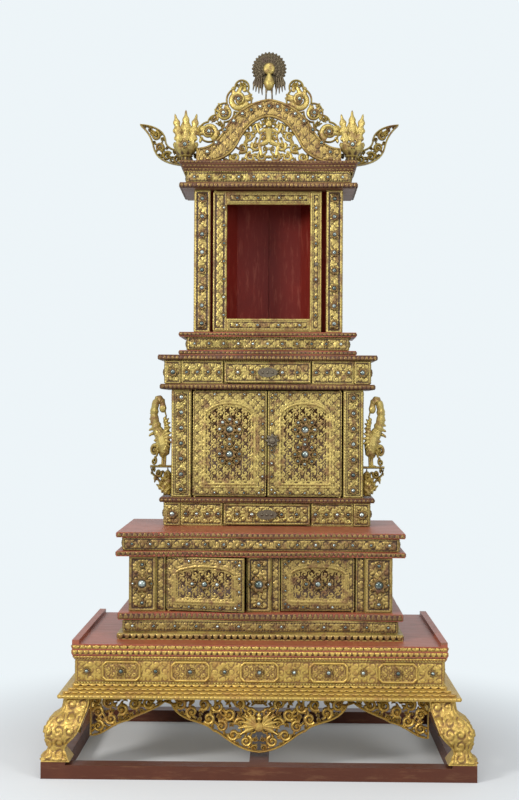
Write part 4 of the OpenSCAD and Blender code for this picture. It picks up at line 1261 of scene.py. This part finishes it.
def openwork(into, place, loop, depth, smallest, largest, rim=0.004, mirror_at=None, seed=1):
    """A rim round a loop and a filling of curled stems and leaves."""
    chance = random.Random(seed)
    if rim:
        ribbon(into, place, np.concatenate([loop, loop[:2]]), rim, depth * 0.9)
    circles = fill_circles(loop, smallest, largest, mirror_at)
    places = [place] if mirror_at is None else [place, flipped(place, mirror_at)]
    for x, z, radius in circles:
        angle, hand = chance.uniform(0, 6.28), chance.choice((-1, 1))
        rise = depth * chance.uniform(0.75, 1.0)
        sprig_count = 5 if radius > 0.012 else 2
        sprigs = [(chance.uniform(0, 6.28), chance.uniform(-1.4, 1.4)) for _ in range(sprig_count)]
        for each in places:
            scroll(into, each, (x, z), radius * 1.10, angle, hand, rise, 0.27)
            for a, bend in sprigs:
                root = (x + radius * 0.45 * math.cos(a), z + radius * 0.45 * math.sin(a))
                leaf(into, each, root, a, radius * 0.85, radius * 0.30, rise * 0.9, bend, 1)
    return circles


def facing(y):
    """A placing rule for an upright face that looks along -Y: u is x and v is z."""
    return lambda u, v, d: np.stack([u, y - d, v], -1)


def flat_loop(loop, axis):
    """A loop of points without one of their axes."""
    return np.delete(loop, axis, 1)


# %% Aprons of the table
low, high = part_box("apron_front")
front_apron = Carving()
for loop in outlines("apron_front", 1, -1):
    openwork(front_apron, facing(high.y), flat_loop(loop, 1), high.y - low.y - 0.001, 0.0060, 0.026,
             0.0045, 0.0, 3)
wing_z = low.z + (high.z - low.z) * 0.46
face = facing(low.y + 0.006)
for sign in (-1, 1):
    for k in range(5):
        angle = math.pi / 2 - sign * (0.35 + 0.36 * k)
        leaf(front_apron, face, (sign * 0.008, wing_z), angle, 0.072, 0.010, 0.010, -sign * 0.4, 2)
bud(front_apron, face, (0, wing_z), 0.018, 0.014)
leaf(front_apron, face, (0, wing_z + 0.015), math.pi / 2, 0.045, 0.011, 0.012)
piece = front_apron.piece("apron_front_openwork", "shrine", bright_carving, "gilding", smooth=False)
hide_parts("apron_front")

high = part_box("apron_sides")[1]
side_aprons = Carving()
rim = next(loop for loop in outlines("apron_sides", 0, 1) if loop[:, 0].mean() > 0)
inner = high.x - max(0.012, np.ptp(rim[:, 0])) - 0.008
for sign in (-1, 1):
    openwork(side_aprons, lambda u, v, d, sign=sign: np.stack([sign * (inner + d), u, v], -1),
             flat_loop(rim, 0), high.x - inner - 0.001, 0.007, 0.026, 0.0045, None, 5)
piece = side_aprons.piece("apron_sides_openwork", "shrine", bright_carving, "gilding", smooth=False)
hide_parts("apron_sides")
print("aprons cut")

# %% [markdown]
# ## Relief on curved wood
# The scroll legs and the arch band are curved, so their carving is draped: a grid of rays finds the
# surface, and the sheet is laid over what they meet and closed behind.

# %% Drape a relief over a node
def drape(into, node, side, pattern, depth, step=0.0046, sink=0.004):
    """Lays relief over the surface that a node shows to one side."""
    mesh = nodes[node].data
    tree = BVHTree.FromPolygons([v.co for v in mesh.vertices], [p.vertices for p in mesh.polygons])
    low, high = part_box(node)
    out = Vector({FRONT: (0, -1, 0), RIGHT: (1, 0, 0), LEFT: (-1, 0, 0)}[side])
    across = 0 if side == FRONT else 1
    us = np.arange(low[across] + step / 2, high[across], step)
    vs = np.arange(low.z + step / 2, high.z, step)
    far = 1.0 + max(high - low)
    hits = np.full((len(us), len(vs), 3), np.nan)
    for i, u in enumerate(us):
        for j, v in enumerate(vs):
            start = Vector((u, 0, v)) if side == FRONT else Vector((0, u, v))
            spot = tree.ray_cast(start + out * far, -out)[0]
            if spot:
                hits[i, j] = spot
    met = ~np.isnan(hits[..., 0])
    reach = np.where(met, hits @ np.array(out), 0)
    corners = np.stack([reach[:-1, :-1], reach[1:, :-1], reach[1:, 1:], reach[:-1, 1:]], -1)
    cell = (met[:-1, :-1] & met[1:, :-1] & met[1:, 1:] & met[:-1, 1:]) & (np.ptp(corners, axis=-1) < 0.03)
    uses = np.zeros(met.shape, int)
    for di in (0, 1):
        for dj in (0, 1):
            uses[di:di + cell.shape[0], dj:dj + cell.shape[1]] += cell
    u, v = np.meshgrid(us - us[0], vs - vs[0], indexing="ij")
    raised = np.clip(pattern(u, v, us[-1] - us[0], vs[-1] - vs[0]), 0, 1)
    rise = np.where(uses == 4, raised * depth, -sink * 0.5)
    number = np.cumsum(uses.ravel() > 0).reshape(met.shape) - 1
    used = uses > 0
    front_points = (hits + rise[..., None] * np.array(out))[used]
    back_points = (hits - sink * np.array(out))[used]
    count = len(front_points)
    faces, rim = [], {}
    for i, j in zip(*np.nonzero(cell)):
        quad = [int(number[i + di, j + dj]) for di, dj in ((0, 0), (1, 0), (1, 1), (0, 1))]
        faces += [quad, [k + count for k in reversed(quad)]]
        for a, b in zip(quad, quad[1:] + quad[:1]):
            if (b, a) in rim:
                del rim[b, a]
            else:
                rim[a, b] = True
    faces += [[b, a, a + count, b + count] for a, b in rim]
    # The back of the sheet gets no relief, so its rim is painted in shade.
    relief = np.concatenate([raised[used], np.zeros(count)])
    into.add(np.concatenate([front_points, back_points]), faces, relief)


leg_skin = Carving()
for side in (FRONT, RIGHT, LEFT):
    drape(leg_skin, "legs", side, vine(0.040), 0.010)
leg_skin.piece("leg_carving", "shrine", bright_carving, "gilding")
arch_skin = Carving()
drape(arch_skin, "crest_arch", FRONT, vine(0.026), 0.006, 0.0040)
arch_rims = [flat_loop(loop, 1) for loop in outlines("crest_arch", 1, -1)]
arch_face = facing(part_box("crest_arch")[0].y + 0.003)
for rim in arch_rims:
    ribbon(arch_skin, arch_face, np.concatenate([rim, rim[:2]]), 0.0045, 0.009)
arch_skin.piece("crest_arch_carving", "shrine", sooty_carving, "aged_gilding")
print("legs and arch draped")

# %% Foliage, curls and horns of the crest
low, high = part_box("crest_tympanum")
crest_x = (low.x + high.x) / 2
foliage = Carving()
for loop in outlines("crest_tympanum", 1, -1)[:1]:
    openwork(foliage, facing(high.y), flat_loop(loop, 1), high.y - low.y, 0.0065, 0.024, 0.0030, crest_x, 11)
unit = (high.z - low.z) / 44


def figure(u, v, d):
    """Places the small figure: u and v in 44ths of the foliage's height, d in metres."""
    return facing(low.y + 0.004)(crest_x + u * unit, low.z + v * unit, d)


tube(foliage, figure, [(0, 19), (0, 25), (0, 32)], [3.2, 2.8, 4.2], unit)
bud(foliage, figure, (0, 36.5), 3.4, 4.5 * unit)
leaf(foliage, figure, (0, 39), math.pi / 2, 6, 1.8, 3 * unit)
bud(foliage, figure, (0, 36), 0.6, 5.4 * unit, 0.0, 6)
for sign in (-1, 1):
    bud(foliage, figure, (sign * 1.3, 37.1), 0.5, 4.6 * unit, 0.0, 6)
    arm = [(sign * 3.2, 31), (sign * 9.5, 29), (sign * 12, 37)]
    thigh = [(sign * 1.5, 20), (sign * 9, 16), (sign * 7, 7)]
    tube(foliage, figure, arm, [2.0, 1.6, 1.3], unit, 8)
    tube(foliage, figure, thigh, [2.9, 2.2, 1.6], unit, 8)
piece = foliage.piece("crest_foliage", "shrine", old_carving, "aged_gilding", smooth=False)
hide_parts("crest_tympanum")

curl_spots = []
for node, smallest, largest, seed in (("crest_scrolls", 0.0065, 0.050, 2), ("crest_horns", 0.0060, 0.022, 4)):
    low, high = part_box(node)
    thick = high.y - low.y
    curls = Carving()
    rims = [flat_loop(loop, 1) for loop in outlines(node, 1, -1) if loop[:, 0].mean() < crest_x]
    for place in (facing(high.y), flipped(facing(high.y), crest_x)):
        for loop in rims:
            circles = openwork(curls, place, loop, thick, smallest, largest, 0.0040, None, seed)
            middle_of = loop.mean(0)
            for x, z, radius in circles:
                if radius > 0.024:
                    spot = place(np.array(x), np.array(z), np.array(thick + 0.004))
                    curl_spots.append((Vector(spot.tolist()), 0.0085))
                if radius >= largest * 0.5:
                    a = math.atan2(z - middle_of[1] + 0.03, x - middle_of[0])
                    root = (x + radius * 0.8 * math.cos(a), z + radius * 0.8 * math.sin(a))
                    leaf(curls, place, root, a, radius * 0.7, radius * 0.26, thick * 0.7, 0.9, 1)
    piece = curls.piece(node + "_openwork", "shrine", old_carving, "aged_gilding", smooth=False)
    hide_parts(node)
print("crest foliage, curls and horns cut")

# %% Finials: a lotus cup with three flame leaves
low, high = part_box("crown_finials")
finials = Carving()
foot_points = np.array([v.co for v in nodes["crown_finials"].data.vertices])
foot_points = foot_points[foot_points[:, 2] < low.z + 0.004]
cup_height = (high.z - low.z) * 0.36
finial_tops = []
for points in (foot_points[foot_points[:, 0] < crest_x], foot_points[foot_points[:, 0] > crest_x]):
    centre = (points.min(0) + points.max(0)) / 2
    rings = np.array([(0.034, 0.0, 0.2), (0.034, 0.06, 0.6), (0.022, 0.13, 0.2), (0.020, 0.25, 0.3),
                      (0.030, 0.33, 0.8), (0.028, 0.38, 0.2), (0.042, 0.62, 0.7), (0.049, 0.86, 1.0),
                      (0.044, 1.0, 0.7), (0.020, 0.97, 0.1)])
    a = np.linspace(0, 2 * math.pi, 40, endpoint=False)
    scallop = 1 + 0.09 * np.cos(8 * a) * np.clip(rings[:, 1:2] * 2 - 0.9, 0, 1)
    x = centre[0] + rings[:, :1] * scallop * np.cos(a)
    y = centre[1] + rings[:, :1] * scallop * np.sin(a)
    z = low.z + cup_height * rings[:, 1:2] + 0.006 * np.cos(8 * a) * (rings[:, 1:2] > 0.8)
    finials.add(np.stack([x, y, z], -1), rings_to_faces(len(rings), 40),
                np.clip(rings[:, 2:] + 0.25 * np.cos(8 * a), 0, 1))
    for k in (-1, 0, 1):
        root = (centre[0] + k * 0.024, low.z + cup_height * 0.84)
        length = high.z - root[1] - (0.016 if k else 0.002)
        angle = math.pi / 2 - k * 0.10
        leaf(finials, facing(centre[1] + 0.007), root, angle, length, 0.021, 0.015, -k * 0.10, 4)
        for sign in (-1, 1):
            for share in (0.12, 0.40):
                spot = (root[0] + k * 0.1 * length * share, root[1] + length * share)
                angle = math.pi / 2 - sign * 0.75
                leaf(finials, facing(centre[1] + 0.004), spot, angle, length * 0.30, 0.008, 0.012,
                     sign * 0.8, 1)
    finial_tops.append((Vector((centre[0], centre[1] - 0.050, low.z + cup_height * 0.84)), 0.0095))
piece = finials.piece("finial_carving", "shrine", old_carving, "aged_gilding", smooth=False)
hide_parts("crown_finials")
print("finials made")

# %% Birds on brackets beside the middle cabinet
low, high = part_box("bird_brackets")
bird_points = np.array([v.co for v in nodes["bird_brackets"].data.vertices])
left_points = bird_points[bird_points[:, 0] < (low.x + high.x) / 2]
inner_x, mid_y = left_points[:, 0].max(), (low.y + high.y) / 2
unit_u = (inner_x - low.x) / 32
unit = (high.z - low.z) / 102
birds = Carving()


def bird_place(edge, sign):
    """Placing rule for one bird, inwards from its outer edge, in 32nds and 102nds of its box."""
    return lambda u, v, d: np.stack([edge + sign * u * unit_u, mid_y - d, low.z + v * unit], -1)


for place in (bird_place(low.x, 1), bird_place(high.x, -1)):
    knots = np.array([(18, 58), (11, 68), (6.5, 80), (8, 93), (13, 99), (18, 96), (19, 90)], float)
    along_neck = np.linspace(0, len(knots) - 1, 25)
    neck = np.stack([np.interp(along_neck, np.arange(len(knots)), knots[:, k]) for k in (0, 1)], -1)
    neck[1:-1] = (neck[:-2] + neck[1:-1] + neck[2:]) / 3
    ruffled = np.interp(along_neck, [0, 2, 4, 6], [7.5, 5.8, 4.4, 4.0]) * (1 + 0.13 * np.cos(along_neck * 10))
    tube(birds, place, neck, ruffled, unit * 1.0)
    tube(birds, place, [(14, 68), (17, 61), (20, 53), (20, 45), (17, 40)], [4.0, 9.5, 10.5, 8.5, 3.0], unit)
    bud(birds, place, (19, 89.5), 4.8, 5.0 * unit)
    bud(birds, place, (19, 89.5), 4.8, -5.0 * unit)
    leaf(birds, place, (20.5, 88.5), -0.9, 8.0, 1.7, 2.4 * unit, -0.5, 1)
    leaf(birds, place, (17, 92), 2.0, 9.0, 1.5, 2.0 * unit, 0.9, 1)
    bud(birds, place, (19.6, 90.2), 0.7, 5.0 * unit, 0.0, 6)
    for k in range(7):
        length = 14.0 - 0.7 * abs(k - 2)
        leaf(birds, place, (19, 62 - k * 1.5), 0.75 - 0.28 * k, length, 3.4, 5.0 * unit, -0.25, 2, 4.5 * unit)
    for k in range(6):
        leaf(birds, place, (21, 74 - 1.2 * k), 1.35 - 0.42 * k, 9.5, 2.8, 4.5 * unit, -0.3, 2, 1.0 * unit)
    for k in range(6):
        root = (17 - k * 0.6, 64 - 3.2 * k)
        leaf(birds, place, root, 2.4 + 0.35 * k, 9.0, 2.8, 4.5 * unit, 0.3, 1, 3.0 * unit)
    scroll(birds, place, (8, 47), 8.0, 0.4, 1, 7.0 * unit, 0.30, 1.3)
    scroll(birds, place, (7, 36), 5.4, 1.4, -1, 6.0 * unit, 0.30, 1.2)
    for x in (18.5, 22):
        tube(birds, place, [(x, 46), (x + 0.6, 38), (x, 31)], [2.4, 1.7, 1.8], unit, 8)
    leaf(birds, place, (24, 32), math.pi, 11, 1.6, 3.5 * unit, 0.0, 1)
    for k in range(5):
        root = (9 - 0.4 * k, 82 - 4.5 * k)
        leaf(birds, place, root, 2.5 + 0.16 * k, 8.5, 2.4, 3.5 * unit, 0.7, 1, 0.5 * unit)
        leaf(birds, place, (29, 2), 1.62 + 0.24 * k, 27.5 - 1.5 * k, 4.2, 8.0 * unit, 0.12, 4, -2 * unit)
    corbel = np.array([(2, 30.5), (31.6, 30.5), (31.6, 0.5), (27, 3), (21, 10), (13, 17), (5, 23)], float)
    ribbon(birds, place, np.concatenate([corbel, corbel[:2]]), 1.3, 8.0 * unit, -4 * unit)
    for x, z, radius, hand in ((25, 22, 6.2, 1), (13.5, 24, 5.0, -1), (26, 10.5, 4.6, -1), (6, 27.5, 2.6, 1),
                               (18.5, 16, 3.4, 1)):
        scroll(birds, place, (x, z), radius * 1.25, 1.9 * x, hand, 10.0 * unit, 0.34, 1.2, -4 * unit)
        root = (x - radius * 0.5, z - radius * 0.6)
        leaf(birds, place, root, 3.9, radius * 1.6, radius * 0.55, 9.0 * unit, 0.7, 2, -4 * unit)
piece = birds.piece("bird_carving", "shrine", old_carving, "aged_gilding", smooth=False)
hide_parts("bird_brackets")
print("birds made")

# %% Peacock with its fan spread
low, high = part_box("peacock")
fan = Carving()
FAN_R = 0.071
fan_z = high.z - FAN_R
mid_y = (low.y + high.y) / 2
place = facing(mid_y + 0.008)
# The half width of a feather along its length, as shares of its full half width.
VANE = np.array([0.35, 0.42, 0.5, 0.6, 0.72, 0.88, 1.0, 0.85, 0.25])
t = np.linspace(0.22, 1, len(VANE))
for count, reach, width, base in ((21, FAN_R, 0.0088, 0.0), (17, FAN_R * 0.76, 0.0090, 0.004),
                                  (11, FAN_R * 0.52, 0.0090, 0.008)):
    for k in range(count):
        a = math.radians(-35 + 250 * k / (count - 1))
        c, s = math.cos(a), math.sin(a)
        path = np.stack([crest_x + c * reach * t, fan_z + s * reach * t], -1)
        ribbon(fan, place, path, width * VANE, 0.006, base)
        bud(fan, place, (crest_x + c * reach * 0.87, fan_z + s * reach * 0.87), 0.0030, 0.0085, base, 8)
for sign in (-1, 1):
    for k in range(4):
        root = (crest_x + sign * (0.030 + 0.007 * k), fan_z - 0.026)
        leaf(fan, place, root, -math.pi / 2 + sign * (0.05 + 0.09 * k), fan_z - low.z - 0.048 - 0.006 * k,
             0.0075, 0.007, -sign * 0.15, 2)
    shank = [(crest_x + sign * x, low.z + z) for x, z in ((0.010, 0.052), (0.012, 0.026), (0.013, 0.001))]
    tube(fan, facing(mid_y), shank, [0.006, 0.0032, 0.0036], sides=8)
bud(fan, place, (crest_x, fan_z), FAN_R * 0.90, 0.003, -0.002, 40)
piece = fan.piece("peacock_fan", "shrine", peacock_finish, "peacock_dark", smooth=False)
bird = Carving()
place = facing(mid_y - 0.004)
bud(bird, facing(mid_y), (crest_x, fan_z), FAN_R * 0.34, 0.014, 0.0, 20)
spine = [(crest_x, low.z + z) for z in (0.040, 0.052, 0.070, 0.088, 0.102, 0.118, 0.128)]
tube(bird, place, spine, [0.007, 0.018, 0.023, 0.017, 0.009, 0.0075, 0.003], sides=14)
leaf(bird, place, (crest_x, low.z + 0.122), math.pi / 2, 0.018, 0.004, 0.006)
leaf(bird, place, (crest_x, low.z + 0.121), -math.pi / 2, 0.014, 0.0025, 0.016, 0.0, 1)
bird.piece("peacock_body", "shrine", old_carving, "aged_gilding")
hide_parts("peacock")
print("peacock made")

# %% [markdown]
# ## Beads, fringe and the last jewels
# Rows of beads mark the joints between mouldings, and a zigzag fringe hangs over the table's top edge. Both
# use the same tree as the jewels, with another motif and finish.

# %% Bead rows and fringe
def row_round(node, z, pitch, out, size):
    """Spots along the front and both ends of a node, at one height."""
    low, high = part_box(node)
    across = max(2, round((high.x - low.x) / pitch))
    deep = max(2, round((high.y - low.y) / pitch))
    spots = along((low.x - out, low.y - out, z), (high.x + out, low.y - out, z), across, size)
    ends = along((high.x + out, low.y, z), (high.x + out, high.y, z), deep, size)
    ends += along((low.x - out, low.y, z), (low.x - out, high.y, z), deep, size)
    return spots, ends


# Each bead row: node, share of its height, pitch, how far out and bead size.
BEAD_ROWS = (("base_frieze", 0.985, 0.0110, 0.003, 0.0048), ("base_frieze", 0.02, 0.0110, 0.003, 0.0042),
             ("niche_plinth", 0.97, 0.0085, 0.011, 0.0034), ("cornice_frieze", 0.97, 0.0085, 0.011, 0.0034),
             ("lower_drawer_case", 0.985, 0.0085, 0.001, 0.0034),
             ("upper_drawer_case", 0.985, 0.0085, 0.001, 0.0034))
bead_spots = []
for node, share, pitch, out, size in BEAD_ROWS:
    low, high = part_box(node)
    for row in row_round(node, low.z + (high.z - low.z) * share, pitch, out, size):
        bead_spots += row
set_on_points("bead_rows", "shrine", bead_spots, dome, old_carving)
# The fringe tooth's back corners get low relief, so they are painted in shade.
tooth = motif_object("tooth_motif",
                     [(-1, 0, 0.3), (1, 0, 0.3), (0, 0, -1.6), (-1, -0.5, 0.3), (1, -0.5, 0.3),
                      (0, -0.3, -1.6), (0, -0.9, 0.0)],
                     [(0, 2, 1), (0, 1, 4, 3), (1, 2, 5, 4), (2, 0, 3, 5), (3, 4, 6), (4, 5, 6), (5, 3, 6)],
                     [0.2, 0.2, 0.2, 0.4, 0.4, 0.4, 1.0])
fringe, fringe_ends = row_round("table_top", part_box("table_top")[1].z - 0.008, 0.0150, -0.0005, 0.0072)
set_on_points("fringe", "shrine", fringe, tooth, bright_carving)
for name, sign in (("fringe_right", 1), ("fringe_left", -1)):
    spots = [spot for spot in fringe_ends if spot[0].x * sign > 0]
    set_on_points(name, "shrine", spots, tooth, bright_carving, (0, 0, sign * math.pi / 2))

band_spots = []
outer = max(arch_rims, key=len)
low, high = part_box("crest_arch")
for share in np.linspace(-0.86, 0.86, 15):
    x = crest_x + share * (high.x - low.x) / 2
    near = outer[np.abs(outer[:, 0] - x) < 0.02]
    if len(near):
        band_spots.append((Vector((x, low.y - 0.004, near[:, 1].max() - 0.026)), 0.0075))
jewel_set("crest_jewels", "shrine", band_spots + finial_tops + curl_spots)
low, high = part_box("middle_door_knob")
centre = (low + high) / 2
fittings = [(Vector((centre.x, low.y + (high.y - low.y) * 0.72, centre.z)), (high.z - low.z) * 0.62)]
fittings += [(Vector((centre.x, high.y, centre.z - drop)), size)
             for drop, size in ((0.034, 0.0095), (0.066, 0.0075))]
set_on_points("door_fittings", "middle_door_right", fittings, collar, bronze)
for tier in ("lower", "upper"):
    low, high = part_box(tier + "_drawer_pull")
    z = (low.z + high.z) / 2 + 0.004
    plates = [(Vector((x, high.y, z)), 0.0085) for x in (low.x + 0.008, high.x - 0.008)]
    set_on_points(tier + "_drawer_pull_plates", tier + "_drawer", plates, collar, bronze)
for extra in (dome, collar, tooth):
    bpy.data.objects.remove(extra)
print("beads, fringe and fittings set")
